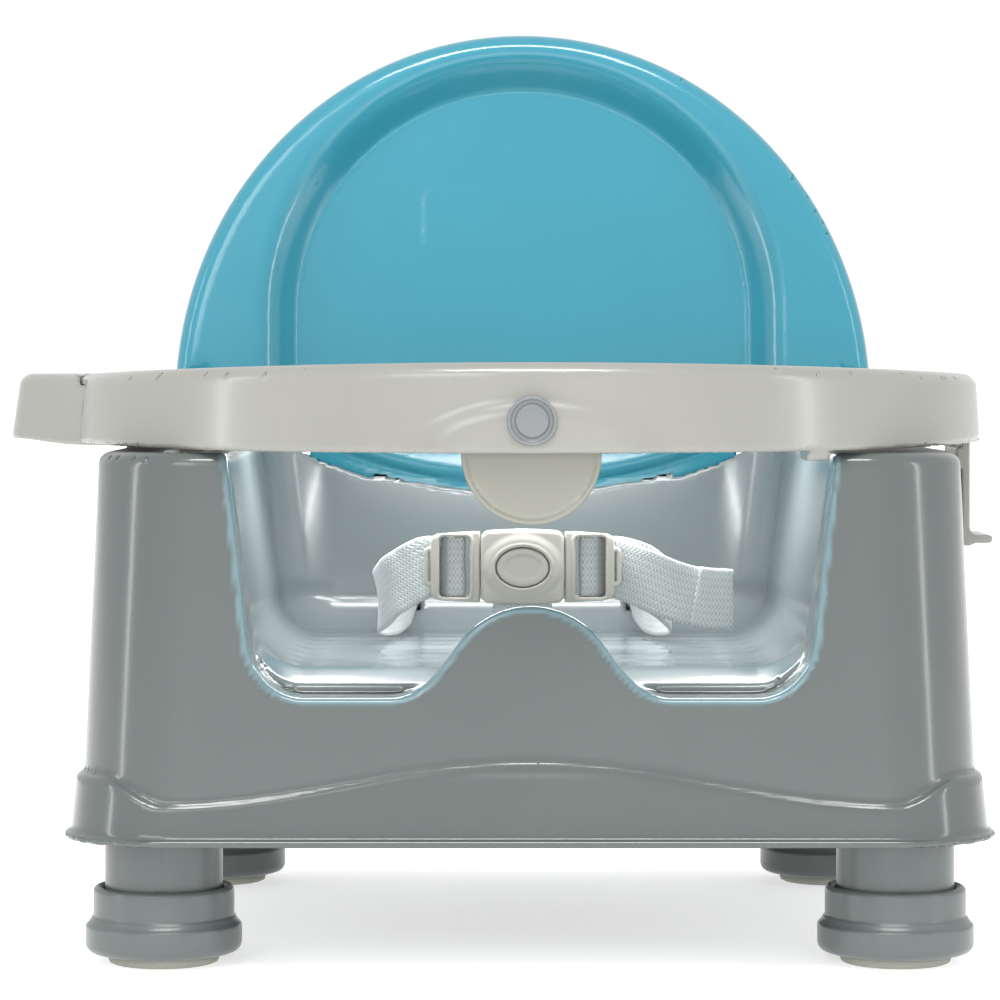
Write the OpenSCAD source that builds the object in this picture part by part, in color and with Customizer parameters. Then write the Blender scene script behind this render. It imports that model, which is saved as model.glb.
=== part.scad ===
// Folding-back booster seat with a swing tray, four height-adjustable feet and a three-point harness.
// Origin: on the floor, below the middle of the base. +X right, +Y towards the backrest, +Z up.

/* [Base] */
// Width over the moulded lip
lip_w = 388; // [370:1:400]
// Depth over the moulded lip
lip_d = 345; // [330:1:360]
// Height of the lip's underside above the floor
lip_z = 52.5; // [50:0.5:60]
// Height of the armrest tops
arm_z = 212.5; // [208:0.5:213]
// Corner radius of the base in plan
corner_r = 44; // [40:1:48]
// Moulded wall thickness
wall = 3; // [2.5:0.1:3.5]

/* [Seat] */
// Half width of the seat opening at the armrest tops
seat_half_top = 125; // [118:1:128]
// Half width of the seat between the walls, just above the floor
seat_half_low = 116; // [110:1:120]
// Height of the seat floor
seat_z = 122; // [118:1:126]
// Height of the front edge on each side of the pommel
front_z = 112.5; // [108:0.5:118]
// Height of the pommel between the legs
pommel_z = 150; // [140:1:158]

/* [Backrest] */
// Half width of the backrest
back_a = 168.5; // [160:0.5:172]
// Height of the backrest above its widest level
back_b = 180; // [170:1:184]
// Recline of the backrest, in degrees
back_lean = 8; // [4:1:12]

/* [Tray] */
// Half width of the tray
tray_a = 200; // [190:1:205]
// How far the tray bows forward of its widest line
tray_b = 178; // [160:1:185]
// Height of the tray's rim
tray_top = 249.7; // [245:0.1:252]
// Height of the apron's lower edge
tray_low = 213.3; // [213.3:0.1:216]

/* [Legs] */
// Outer diameter of a leg tube
leg_d = 49; // [44:1:50]
// Outer diameter of a foot at its flare
foot_d = 65; // [60:1:68]
// Travel of a leg up and down from the middle height
leg_travel = 20; // [10:1:20]

/* [Harness] */
// Width of the webbing
web_w = 26; // [24:1:28]
// Thickness of the webbing
web_t = 1.6; // [1.2:0.1:2]

/* [Hidden] */
$fn = 48;

gap = 0.3;                       // running gap between pieces that move past each other
lip_t = 2.5;                     // thickness of the lip's flange
skirt_z = 76;                    // top of the skirt round the base
body_low_w = 374;                // width of the walls above the skirt
body_low_d = 331;
body_top_w = 362;                // width of the walls under the armrests' edge
body_top_d = 319;
edge_r = 6;                      // rounding of the armrests' edge

leg_x_front = 152.5;             // leg centres
leg_x_rear = 147.5;
leg_y_front = -129;
leg_y_rear = 121;
leg_low = 8;                     // bottom of the leg tube, inside the foot
leg_top = 96;                    // top of the leg tube
leg_wall = 2.4;
socket_top = 104;                // top of the frame's sockets
socket_d = leg_d + 2 * gap;      // bore of a socket
socket_wall = 2;
frame_z = 57;                    // underside of the bottom frame's plate
frame_t = 3;
pad_h = 4.5;                     // rubber pad under a foot
foot_top = 32;                   // top of a foot's collar
collar_d = 58.6;
pad_d = 46;

hinge_y = 142;                   // backrest hinge axis
hinge_z = 232;
hinge_pin_r = 4;
ear_x = 146;                     // inner face of a hinge ear
ear_t = 13;
ear_r = 12;

flip_x = -196;                   // axis that the tray flips up about, along Y
flip_z = 222;
flip_pin_r = 3;
lug_y = [-44, -12];              // front faces of the bracket's two lugs
lug_t = 8;
bracket_screw_at = [[-158, -31], [-158, -17]];
latch_x = 192.4;                 // latch lever's hinge axis
latch_z = 226;
latch_y0 = -48;                  // latch lever's width runs from here
latch_y1 = -6;

buckle_x = -2;                   // centre of the buckle
buckle_y = -42;
buckle_z = 160;
buckle_w = 37;
buckle_h = 33;
buckle_t = 13;
tongue_w = 22;                   // part of a tongue outside the buckle
tongue_h = 31;

boss_at = [[-80, -105], [80, -105], [-80, 62], [80, 62]]; // screw bosses below the seat floor
legs_at = [["front_left", -leg_x_front, leg_y_front], ["front_right", leg_x_front, leg_y_front],
    ["rear_left", -leg_x_rear, leg_y_rear], ["rear_right", leg_x_rear, leg_y_rear]];

// ---- shared shapes ----

// A slab with rounded corners in plan, centred on the origin.
module slab(w, d, r, z, h) {
    translate([0, 0, z]) linear_extrude(h) rounded(w, d, r);
}

// A rectangle with rounded corners, from four circles and two bars.
module rounded(w, d, r) {
    square([w - 2 * r, d], center = true);
    square([w, d - 2 * r], center = true);
    for (x = [-1, 1], y = [-1, 1]) translate([x * (w / 2 - r), y * (d / 2 - r)]) circle(r);
}

// A ribbon of webbing: a rectangle swept along points, its width upright.
function flat_dir(p, i) = let (a = p[max(i - 1, 0)], b = p[min(i + 1, len(p) - 1)],
    d = [b[0] - a[0], b[1] - a[1]]) d / norm(d);
module ribbon(p, w, t) {
    rings = [for (i = [0:len(p) - 1]) let (d = flat_dir(p, i), n = [-d[1], d[0], 0] * t / 2, u = [0, 0, w / 2])
        each [p[i] + n + u, p[i] - n + u, p[i] - n - u, p[i] + n - u]];
    last = len(p) - 1;
    sides = [for (i = [0:last - 1], k = [0:3]) [4 * i + k, 4 * i + (k + 1) % 4, 4 * i + 4 + (k + 1) % 4, 4 * i + 4 + k]];
    polyhedron(points = rings, faces = concat(sides, [[3, 2, 1, 0]], [[4 * last, 4 * last + 1, 4 * last + 2, 4 * last + 3]]),
        convexity = 6);
}

// Points along a smooth curve through hand-picked stations (Catmull-Rom).
function curve_point(a, b, c, d, t) = 0.5 * ((2 * b) + (c - a) * t + (2 * a - 5 * b + 4 * c - d) * t * t
    + (3 * b - a - 3 * c + d) * t * t * t);
function smooth_route(p, n) = [for (i = [0:len(p) - 2], k = [0:n - 1])
    curve_point(p[max(i - 1, 0)], p[i], p[i + 1], p[min(i + 2, len(p) - 1)], k / n), p[len(p) - 1]];

// ---- base ----

// Outer walls, tapering towards the armrests.
module outer_walls(g) {
    hull() {
        slab(lip_w - 4 - 2 * g, lip_d - 4 - 2 * g, corner_r - g, lip_z - min(g, 1), 8);
        slab(body_low_w + 8 - 2 * g, body_low_d + 8 - 2 * g, corner_r - g, skirt_z - 7 - g, 1);
        slab(body_low_w + 2 - 2 * g, body_low_d + 2 - 2 * g, corner_r - g, skirt_z - g - 0.5, 0.5);
    }
    hull() {
        slab(body_low_w - 2 * g, body_low_d - 2 * g, corner_r - g, skirt_z - 12, 12);
        slab(body_top_w - 2 * g, body_top_d - 2 * g, corner_r - g, arm_z - edge_r - g, 0.5);
        slab(body_top_w - 2 * g - edge_r, body_top_d - 2 * g - edge_r, corner_r - g - edge_r / 2, arm_z - g - 1.4, 0.4);
        slab(body_top_w - 2 * g - 2 * edge_r, body_top_d - 2 * g - 2 * edge_r, corner_r - g - edge_r, arm_z - g - 0.5, 0.5);
    }
}

// Space between the armrests, down to the seat floor. g grows it to give the bowl's skin.
module seat_space(g) {
    seat_front = -150 - g;
    hull() {
        seat_slice(seat_half_low - 18 + g, seat_front, 92, 8, seat_z - g);
        seat_slice(seat_half_low - 5 + g, seat_front, 107, 18, seat_z + 8 - g);
        seat_slice(seat_half_low + g, seat_front, 114, 26, seat_z + 24);
        seat_slice(seat_half_top + g, seat_front, 124, 30, arm_z + 0.5);
    }
}

// One thin level slice of the seat space, square at the front and rounded at the rear.
module seat_slice(half, front, rear, r, z) {
    translate([0, 0, z]) linear_extrude(0.5) {
        translate([-half, front]) square([2 * half, rear - r - front]);
        translate([-half + r, front]) square([2 * (half - r), rear - front]);
        for (x = [-1, 1]) translate([x * (half - r), rear - r]) circle(r);
    }
}

// Outline of the front opening: straight sides, round lower corners and a pommel between the legs.
function arc_points(cx, cz, r, from, to, n) = [for (i = [0:n]) let (a = from + (to - from) * i / n)
    [cx + r * cos(a), cz + r * sin(a)]];
pommel_r = 36;                   // dome of the pommel
pommel_fillet = 22;              // fillet between the pommel and the front edge
pommel_c = pommel_z - pommel_r;
fillet_cz = front_z + pommel_fillet;
fillet_dx = sqrt(pow(pommel_r + pommel_fillet, 2) - pow(fillet_cz - pommel_c, 2));
pommel_angle = atan2(fillet_cz - pommel_c, fillet_dx);
opening_corner = 24;
half_front_top = 124.5;
half_front_low = 116;
function opening_half() = concat(
    arc_points(0, pommel_c, pommel_r, 90, pommel_angle, 8),
    arc_points(fillet_dx, fillet_cz, pommel_fillet, 180 + pommel_angle, 270, 6),
    arc_points(half_front_low - opening_corner, front_z + opening_corner, opening_corner, 270, 360, 8),
    [[half_front_top, arm_z + 8]]);
module front_opening(g, depth_to) {
    half = opening_half();
    mirrored = [for (i = [len(half) - 1:-1:1]) [-half[i][0], half[i][1]]];
    translate([0, depth_to, 0]) rotate([90, 0, 0]) linear_extrude(depth_to + 190)
        offset(delta = g) polygon(concat(mirrored, half));
}

// Saddle-shaped shelf below the backrest. A thin lip along its front edge stands higher between two steps.
rear_arc_r = 254;
rear_lip_z = 187.5;
rear_shelf_z = 183.5;
rear_lip_half = 73;
rear_lip_y = 122.8;
rear_slot_z = 170;               // slot behind the shelf that the panel swings through
rear_slot_y = 124;
module rear_arc(low, g, y0, y1, half) {
    intersection() {
        translate([0, y1, low + rear_arc_r]) rotate([90, 0, 0]) cylinder(r = rear_arc_r + g, h = y1 - y0, $fn = 120);
        translate([-half, y0, low - g - 1]) cube([2 * half, y1 - y0, 90]);
    }
}
module rear_wall_cut(g) {
    rear_arc(rear_lip_z, g, 100, 180, rear_lip_half + g);
    rear_arc(rear_shelf_z, g, rear_lip_y - g, 180, 128);
    rear_arc(rear_slot_z, g, rear_slot_y - g, 180, 128 + g);
    difference() {
        rear_arc(rear_shelf_z, g, 100, 180, 128);
        translate([-rear_lip_half - g, 90, 150]) cube([2 * (rear_lip_half + g), 60, 90]);
    }
}

module base_shell() {
    color([0.58, 0.61, 0.62]) difference() {
        union() {
            difference() {
                outer_walls(0);
                seat_space(0);
                front_opening(0, -140);
                rear_wall_cut(0);
                difference() {
                    outer_walls(wall);
                    seat_space(wall);
                    front_opening(wall, -140 + wall);
                    rear_wall_cut(wall);
                }
            }
            difference() {
                slab(lip_w, lip_d, corner_r + 2, lip_z, lip_t);
                slab(lip_w - 10, lip_d - 10, corner_r - 3, lip_z - 1, lip_t + 2);
            }
            hinge_ears();
            for (p = boss_at) translate([p[0], p[1], frame_z + frame_t]) cylinder(d = 10, h = seat_z - frame_z - 5);
        }
        hinge_bores();
        for (p = bracket_screw_at) translate([p[0], p[1], arm_z - 5]) cylinder(r = 1.55, h = 10);
        translate([170, latch_y0 + 5, 169.5]) cube([25, latch_y1 - latch_y0 - 10, 6]);
        for (p = boss_at) translate([p[0], p[1], frame_z]) cylinder(d = 3.2, h = 22);
        strap_slots();
    }
}

// Ears that carry the backrest's hinge pins, standing on the rear of the armrests.
module hinge_ears() {
    for (s = [-1, 1]) translate([s * (ear_x + ear_t / 2), 0, 0]) {
        translate([-ear_t / 2, hinge_y - ear_r, arm_z - 4]) cube([ear_t, 2 * ear_r, hinge_z - arm_z + 4]);
        translate([-ear_t / 2, hinge_y, hinge_z]) rotate([0, 90, 0]) cylinder(r = ear_r, h = ear_t);
    }
}
module hinge_bores() {
    for (s = [-1, 1]) translate([s * (ear_x + ear_t / 2) - ear_t, hinge_y, hinge_z]) rotate([0, 90, 0])
        cylinder(r = hinge_pin_r, h = 2 * ear_t);
}

// Slots for the crotch strap in the floor and for the waist straps in the rear wall.
module strap_slots() {
    translate([buckle_x - 15, -33, seat_z - 8]) cube([30, 5, 12]);
    for (x = [-52, 52]) translate([x - 2.5, 104, strap_slot_z - web_w / 2 - 1]) cube([5, 20, web_w + 2]);
}

// Plate inside the base's underside that carries the four leg sockets.
module bottom_frame() {
    color([0.55, 0.58, 0.6]) difference() {
        union() {
            slab(lip_w - 15, lip_d - 15, corner_r - 8, frame_z, frame_t);
            for (l = legs_at) translate([l[1], l[2], frame_z]) cylinder(d = socket_d + 2 * socket_wall, h = socket_top - frame_z);
            for (x = [-98, 98]) translate([x - 1.5, -92, frame_z]) cube([3, 144, 14]);
        }
        translate([0, -20, frame_z - 1]) linear_extrude(frame_t + 2) rounded(184, 130, 16);
        for (l = legs_at) leg_socket_bore(l);
        for (p = boss_at) translate([p[0], p[1], frame_z - 1]) cylinder(d = 3.6, h = frame_t + 2);
        for (x = [-118, 118]) translate([x - 3, -42, frame_z - 1]) cube([6, 44, frame_t + 2]);
    }
}

// Bore of one socket, with keyways for the leg's ribs and a slot for its button.
module leg_socket_bore(l) {
    translate([l[1], l[2], frame_z - 1]) {
        cylinder(d = socket_d, h = socket_top - frame_z + 2);
        translate([-1.5, -socket_d / 2 - 1, 0]) cube([3, socket_d + 2, socket_top - frame_z + 2]);
        translate([l[1] > 0 ? -socket_d / 2 - 5 : socket_d / 2 - 5, -4.4, 4]) cube([10, 8.8, socket_top - frame_z]);
    }
}

// Four pan-head screws from below into the base's bosses.
module frame_screws() {
    color("silver") for (p = boss_at) translate([p[0], p[1], 0]) {
        translate([0, 0, frame_z - 2]) cylinder(d = 7, h = 2);
        translate([0, 0, frame_z]) cylinder(d = 3, h = 18);
    }
}

module hinge_pin(s) {
    color("silver") translate([s * (ear_x + ear_t / 2) - 15.5, hinge_y, hinge_z]) rotate([0, 90, 0])
        cylinder(r = hinge_pin_r - 0.05, h = 31);
}
module hinge_pin_left() { translate([9, 0, 0]) hinge_pin(-1); }
module hinge_pin_right() { translate([-9, 0, 0]) hinge_pin(1); }

// Bracket on the left armrest, inside the tray's hollow, whose two lugs carry the tray's hinge pin.
module tray_hinge_bracket() {
    color([0.9, 0.9, 0.87]) difference() {
        union() {
            translate([-176, -46, arm_z]) cube([34, 44, 3]);
            for (y = lug_y) translate([0, y + lug_t, 0]) rotate([90, 0, 0]) linear_extrude(lug_t) {
                translate([flip_x, flip_z]) circle(6.5);
                polygon([[flip_x - 2, flip_z - 6.2], [flip_x + 2.5, flip_z + 6], [-146, arm_z + 3], [-146, arm_z + 1], [-178, arm_z + 0.6]]);
            }
        }
        translate([flip_x, -50, flip_z]) rotate([-90, 0, 0]) cylinder(r = flip_pin_r, h = 60);
        for (p = bracket_screw_at) translate([p[0], p[1], arm_z - 1]) cylinder(r = 1.6, h = 6);
    }
}
module bracket_screws() {
    color("silver") for (p = bracket_screw_at) translate([p[0], p[1], 0]) {
        translate([0, 0, arm_z + 3]) cylinder(d = 6, h = 1.8);
        translate([0, 0, arm_z - 4]) cylinder(r = 1.5, h = 7);
    }
}
module tray_hinge_pin() {
    color("silver") translate([flip_x, lug_y[0] - 0.5, flip_z]) rotate([-90, 0, 0])
        cylinder(r = flip_pin_r - 0.05, h = lug_y[1] + lug_t - lug_y[0] + 1);
}

// ---- harness ----

strap_slot_z = 145;              // middle of a waist strap where it enters the rear wall
left_route = smooth_route([[-43, -39, 156], [-55, -36, 152], [-64, -24, 146], [-67, -4, 140], [-64, 20, 137.5],
    [-59, 50, 137], [-54, 80, 139], [-52, 98, 143], [-52, 110, strap_slot_z], [-52, 119.9, strap_slot_z]], 3);
right_route = smooth_route([[39, -39, 156], [52, -35, 152], [62, -22, 146], [66, -2, 140], [62, 22, 137.5],
    [57, 50, 137], [54, 80, 139], [52, 98, 143], [52, 110, strap_slot_z], [52, 119.9, strap_slot_z]], 3);
tail_route = smooth_route([[39, -42, 156], [50, -43.5, 152], [62, -43, 147], [74, -41, 144.5], [87, -38, 143.5]], 3);

module crotch_strap() {
    color("white") translate([buckle_x - web_w / 2, 0, 0]) rotate([90, 0, 90]) linear_extrude(web_w)
        polygon([[-31.3, 114.7], [-31.3, 127], [-35, 134], [-42.6, 139], [-42.6, 143.4],
            [-41, 143.4], [-41, 140], [-33.8, 135.2], [-29.7, 127.4], [-29.7, 114.7]]);
}
module waist_strap_left() { color("white") ribbon(left_route, web_w, web_t); }
module waist_strap_right() { color("white") ribbon(right_route, web_w, web_t); }
module strap_tail_right() { color("white") ribbon(tail_route, web_w, web_t); }

// Bars sewn into the ends of the straps, behind the seat's slots.
module strap_bar(x) {
    color("gray") translate([x, 122.4, strap_slot_z - 19]) cylinder(r = 2.4, h = 38);
}
module strap_bar_left() { strap_bar(-52); }
module strap_bar_right() { strap_bar(52); }
module crotch_strap_bar() {
    color("gray") translate([buckle_x - 20, -30.5, 112.2]) rotate([0, 90, 0]) cylinder(r = 2.4, h = 40);
}

// Buckle: two shells, an oval push button on a spring, and a tongue on each side.
function oval(a, b, n) = [for (i = [0:n - 1]) [a * cos(360 * i / n), b * sin(360 * i / n)]];
module in_buckle() { translate([buckle_x, buckle_y, buckle_z]) rotate([90, 0, 0]) children(); }
module buckle_cavity() {
    translate([-buckle_w / 2 + 2.5, -11.5, -4.2]) cube([buckle_w - 5, 23, 8.4]);
    translate([-buckle_w / 2 - 1, -10.5, -2]) cube([buckle_w + 2, 21, 4]);
}
module buckle_front() {
    color("ivory") in_buckle() difference() {
        translate([0, 0, 0.05]) linear_extrude(buckle_t / 2 - 0.05) rounded(buckle_w, buckle_h, 4);
        buckle_cavity();
        linear_extrude(20) polygon(oval(11.8, 8.8, 48));
    }
}
module buckle_back() {
    color("ivory") in_buckle() difference() {
        translate([0, 0, -buckle_t / 2]) linear_extrude(buckle_t / 2 - 0.05) rounded(buckle_w, buckle_h, 4);
        buckle_cavity();
    }
}
module buckle_button() {
    color("ivory") in_buckle() {
        translate([0, 0, 4.6]) linear_extrude(3) polygon(oval(11.5, 8.5, 48));
        translate([0, 0, 2.2]) cylinder(r = 4, h = 2.6);
    }
}
module button_spring() {
    color("silver") in_buckle() translate([0, 0, -4.1]) difference() {
        cylinder(r = 3, h = 6.2);
        translate([0, 0, -1]) cylinder(r = 2.2, h = 9);
    }
}

// One tongue: ladder lock outside the buckle and a flat prong inside it.
module tongue(s) {
    color("ivory") in_buckle() translate([s * buckle_w / 2, 0, 0]) mirror([s < 0 ? 1 : 0, 0, 0]) {
        difference() {
            translate([tongue_w / 2 + 0.1, 0, -4]) linear_extrude(8) rounded(tongue_w - 0.2, tongue_h, 4);
            translate([4.5, -13.2, -10]) cube([4, 26.4, 20]);
            translate([13, -13.2, -10]) cube([4.5, 26.4, 20]);
        }
        translate([-13, -9, -1.5]) cube([13.5, 18, 3]);
    }
}
module tongue_left() { tongue(-1); }
module tongue_right() { tongue(1); }

// ---- backrest ----

back_foot_z = 186.5;             // lowest point of the panel, before it leans
rim_depth = 18;                  // how far the rim stands in front of the panel
back_front = hinge_y - 12;       // front face of the panel at the hinge, before it leans
back_fold = 50;                  // how far the backrest folds forward
boss_x = 136.5;                  // middle of a hinge boss
boss_w = 17.6;
back_side_x = 150;               // the sides reach down to back_side_z beyond this half width
back_side_z = 238;
module back_outline(g) {
    intersection() {
        translate([0, hinge_z - 2]) polygon([for (i = [0:95]) let (t = 360 * i / 96)
            [(back_a + g) * cos(t), (back_b + g) * sin(t)]]);
        union() {
            translate([0, back_foot_z + rear_arc_r]) circle(r = rear_arc_r + g, $fn = 180);
            for (x = [-back_a - 5, back_side_x - g]) translate([x, back_side_z - g]) square([back_a + 5 - back_side_x + g, 60]);
        }
    }
}
// Plate behind the panel's lower edge that hangs into the slot of the base.
module back_flange() {
    intersection() {
        translate([0, back_foot_z - 6.5 + rear_arc_r]) circle(r = rear_arc_r, $fn = 180);
        translate([-104, 170]) square([208, 55]);
    }
}
// The space that an armrest takes up as the backrest folds past it: one wedge for the whole turn.
function down(a) = [-sin(a), -cos(a)];
function back(a) = [cos(a), -sin(a)];
module back_clearance(s) {
    low = hinge_z - arm_z - 0.8;
    first = 2;
    last = back_fold - back_lean;
    translate([s * 146 - 39.6, hinge_y, hinge_z]) rotate([90, 0, 90]) linear_extrude(79.2) polygon(concat(
        [low * down(first) + 20 * back(first)],
        [for (a = [first:10:last]) low * down(a)],
        [low * down(last) - 60 * back(last), 70 * down(last) - 60 * back(last), 90 * down(20), 70 * down(first) + 20 * back(first)]));
}
module panel_outline(g) {
    translate([0, 274]) circle(r = 109 + g, $fn = 96);
    translate([-109 - g, 150]) square([2 * (109 + g), 124]);
}
// Extrudes an outline drawn in X and Z from one y to another.
module upright(y0, y1) { translate([0, y1, 0]) rotate([90, 0, 0]) linear_extrude(y1 - y0) children(); }
// Turns its children about the backrest's hinge.
module about_hinge(angle) {
    translate([0, hinge_y, hinge_z]) rotate([angle, 0, 0]) translate([0, -hinge_y, -hinge_z]) children();
}
module boss_bar(s, r, w) { translate([s * boss_x - w / 2, hinge_y, hinge_z]) rotate([0, 90, 0]) cylinder(r = r, h = w); }

module backrest_shell() {
    color([0.3, 0.68, 0.78]) difference() {
        union() {
            about_hinge(-back_lean) difference() {
                union() {
                    upright(back_front - rim_depth, back_front + wall) back_outline(0);
                    upright(back_front + wall - 0.5, back_front + 2 * wall - 0.5) back_flange();
                    for (s = [-1, 1]) translate([s * boss_x - boss_w / 2 + 0.4, back_front + 1, hinge_z - 6]) cube([boss_w - 0.8, 6.4, 12]);
                }
                upright(back_front - rim_depth - 1, back_front) panel_outline(0);
                upright(back_front - rim_depth + wall, back_front + wall + 1) difference() {
                    back_outline(-wall);
                    panel_outline(wall);
                    translate([-150, 180]) square([300, hinge_z - 180 + 10]);
                }
                for (s = [-1, 1]) translate([s * 153.7 - 8.3, hinge_y, hinge_z]) rotate([0, 90, 0])
                    cylinder(r = ear_r + 5, h = 16.6);
                // clears the armrests all the way over
                for (s = [-1, 1]) back_clearance(s);
            }
            for (s = [-1, 1]) {
                boss_bar(s, 9, boss_w);
                translate([s * boss_x - boss_w / 2 + 0.8, hinge_y + 2.6, arm_z + 0.3]) cube([boss_w - 1.6, 5.4, 14.5]);
            }
        }
        for (s = [-1, 1]) boss_bar(s, hinge_pin_r, 24);
    }
}

// ---- tray ----

tray_mid = -27;                  // y of the tray's widest line
tray_rear = 25;
tray_corner = 28;
belly_half = 115;
belly_deep = 50;
belly_r = (belly_half * belly_half + belly_deep * belly_deep) / (2 * belly_deep);
belly_y = tray_rear - belly_deep + belly_r;
belly_angle = asin(belly_half / belly_r);
plate_low = 240;                 // underside of the tray's floor
plate_top = 243;
module tray_outline(g) {
    polygon(concat(
        [for (i = [0:48]) let (t = 180 + 180 * i / 48) [(tray_a + g) * cos(t), tray_mid + (tray_b + g) * sin(t)]],
        arc_points(tray_a - tray_corner, tray_rear - tray_corner, tray_corner + g, 0, 90, 8),
        arc_points(0, belly_y, belly_r - g, 270 + belly_angle, 270 - belly_angle, 24),
        arc_points(-tray_a + tray_corner, tray_rear - tray_corner, tray_corner + g, 90, 180, 8)));
}
module raise(z0, z1) { translate([0, 0, z0]) linear_extrude(z1 - z0) children(); }

// Plan of the hinge arm: a lobe beside the tray's left end that also reaches in under the tray's floor.
module arm_plan(g) {
    hull() {
        translate([-200, -14]) circle(30 + g);
        translate([-172, -62]) circle(20 + g);
        translate([-168, 8]) circle(14 + g);
    }
}
arm_screws = [[-174, -66], [-172, 8], [-162, -60]];

module tray_shell() {
    color([0.9, 0.9, 0.87]) difference() {
        union() {
            difference() {
                raise(tray_low, tray_top) tray_outline(0);
                raise(tray_low - 1, plate_low) tray_outline(-wall);
                raise(plate_low - 1, tray_top - wall) difference() {
                    tray_outline(-wall);
                    tray_outline(-11);
                }
                raise(plate_top, tray_top + 1) tray_outline(-14);
            }
            translate([112, -166.5, 209.6]) cube([9.5, 30.5, plate_low - 209.6]);
            for (y = [latch_ear_y0, latch_ear_y1]) translate([188, y, latch_z - 5]) cube([8.6, 3, plate_low - latch_z + 6]);
        }
        raise(tray_low - 1, plate_low) arm_plan(0.3);
        translate([0, -204.2, 226.3]) rotate([90, 0, 0]) cylinder(r = 10.1, h = 8);
        for (p = arm_screws) translate([p[0], p[1], plate_low - 1]) cylinder(d = 3.1, h = 3.4);
        translate([latch_x, latch_ear_y0 - 1, latch_z]) rotate([-90, 0, 0]) cylinder(r = 1.55, h = 60);
        // room for the lever where the apron's inner face curves in
        translate([latch_x - 4, latch_y0 - gap, tray_low - 1]) cube([8.3, latch_y1 - latch_y0 + 2 * gap, latch_z - tray_low + 6]);
    }
}
latch_ear_y0 = latch_y0 - 3.3;
latch_ear_y1 = latch_y1 + 0.3;

module tray_hinge_arm() {
    color([0.9, 0.9, 0.87]) difference() {
        union() {
            difference() {
                raise(214, plate_low) arm_plan(0);
                raise(213, plate_low - 3.4) arm_plan(-wall);
                translate([-190, -50, 213]) cube([60, 52, plate_low - 3.4 - 213]);
            }
            difference() {
                raise(plate_low - 1, 245) arm_plan(0);
                raise(plate_low, 246) tray_outline(0.3);
            }
            translate([flip_x - 7, lug_y[0] + lug_t + 0.3, flip_z - 6]) cube([14, lug_y[1] - lug_y[0] - lug_t - 0.6, plate_low - flip_z + 4]);
        }
        translate([flip_x, -50, flip_z]) rotate([-90, 0, 0]) cylinder(r = flip_pin_r, h = 60);
        for (p = arm_screws) translate([p[0], p[1], plate_low - 5]) cylinder(d = 3.4, h = 6);
    }
}
module tray_screws() {
    color("silver") for (p = arm_screws) translate([p[0], p[1], 0]) {
        translate([0, 0, plate_low - 5.4]) cylinder(d = 7, h = 2);
        translate([0, 0, plate_low - 3.4]) cylinder(d = 3, h = 5.6);
    }
}

// Tongue below the tray, between the child's legs.
module crotch_guard() {
    color([0.86, 0.86, 0.82]) upright(-186.5, -183.5) {
        intersection() {
            translate([0, 212.5]) circle(28.3);
            translate([-30, 150]) square([60, plate_low - 150]);
        }
        translate([-28.3, 212.5]) square([56.6, plate_low - 212.5]);
    }
}
module front_badge() {
    color("gray") translate([0, -204.2, 226.3]) rotate([90, 0, 0]) cylinder(r = 10, h = 1.6);
}

// Hook lever: a blade with a foot that reaches in to the wall's slot and out as a finger tab.
module latch_lever() {
    color([0.9, 0.9, 0.87]) translate([0, latch_y1, 0]) rotate([90, 0, 0]) difference() {
        linear_extrude(latch_y1 - latch_y0) {
            translate([latch_x, latch_z]) circle(3.5);
            translate([190.4, 170.6]) square([4, latch_z - 170.6]);
            translate([188.2, 203]) square([2.4, 10]);
            translate([183.4, 170.6]) square([21, 3.6]);
            polygon([[186.4, 174], [190.6, 174], [190.6, 180]]);
            polygon([[194.2, 174], [196.6, 174], [194.2, 177]]);
        }
        translate([latch_x, latch_z, -1]) cylinder(r = 1.56, h = 60);
    }
}
module latch_pin() {
    color("silver") translate([latch_x, latch_ear_y0 + 0.2, latch_z]) rotate([-90, 0, 0])
        cylinder(r = 1.5, h = latch_ear_y1 - latch_ear_y0 + 2.6);
}

// ---- legs ----

module leg(l) {
    color([0.58, 0.62, 0.65]) translate([l[1], l[2], 0]) difference() {
        union() {
            translate([0, 0, leg_low]) cylinder(d = leg_d, h = leg_top - leg_low);
            for (y = [-leg_d / 2 - 0.6, leg_d / 2 - 1.4]) translate([-1, y, foot_top + 0.3]) cube([2, 2, leg_top - foot_top - 8]);
        }
        translate([0, 0, leg_low - 1]) cylinder(d = leg_d - 2 * leg_wall, h = leg_top - leg_low + 2);
        translate([l[1] > 0 ? -30 : 20, 0, 86]) rotate([0, 90, 0]) cylinder(r = 4.05, h = 10);
    }
}
module foot(l) {
    color([0.58, 0.62, 0.65]) translate([l[1], l[2], 0]) rotate_extrude() polygon(concat(
        [[0, pad_h]],
        arc_points(foot_d / 2 - 4, pad_h + 4, 4, 270, 360, 5),
        [[foot_d / 2, 15], [foot_d / 2 - 0.8, 17.5], [collar_d / 2 + 0.6, 20], [collar_d / 2, 22]],
        arc_points(collar_d / 2 - 2.2, foot_top - 2, 2, 0, 80, 4),
        [[leg_d / 2 + 1.4, foot_top - 0.4], [leg_d / 2 + 0.15, foot_top - 2.5], [leg_d / 2 + 0.15, leg_low], [0, leg_low]]));
}
module pad(l) {
    color([0.6, 0.6, 0.53]) translate([l[1], l[2], 0]) rotate_extrude()
        polygon([[0, 0], [pad_d / 2 - 1.5, 0], [pad_d / 2, 1.5], [pad_d / 2, pad_h], [0, pad_h]]);
}
module leg_button(l) {
    color([0.58, 0.62, 0.65]) translate([l[1], l[2], 86]) rotate([0, l[1] > 0 ? -90 : 90, 0])
        translate([0, 0, 20.5]) cylinder(r = 4, h = 7);
}

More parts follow.
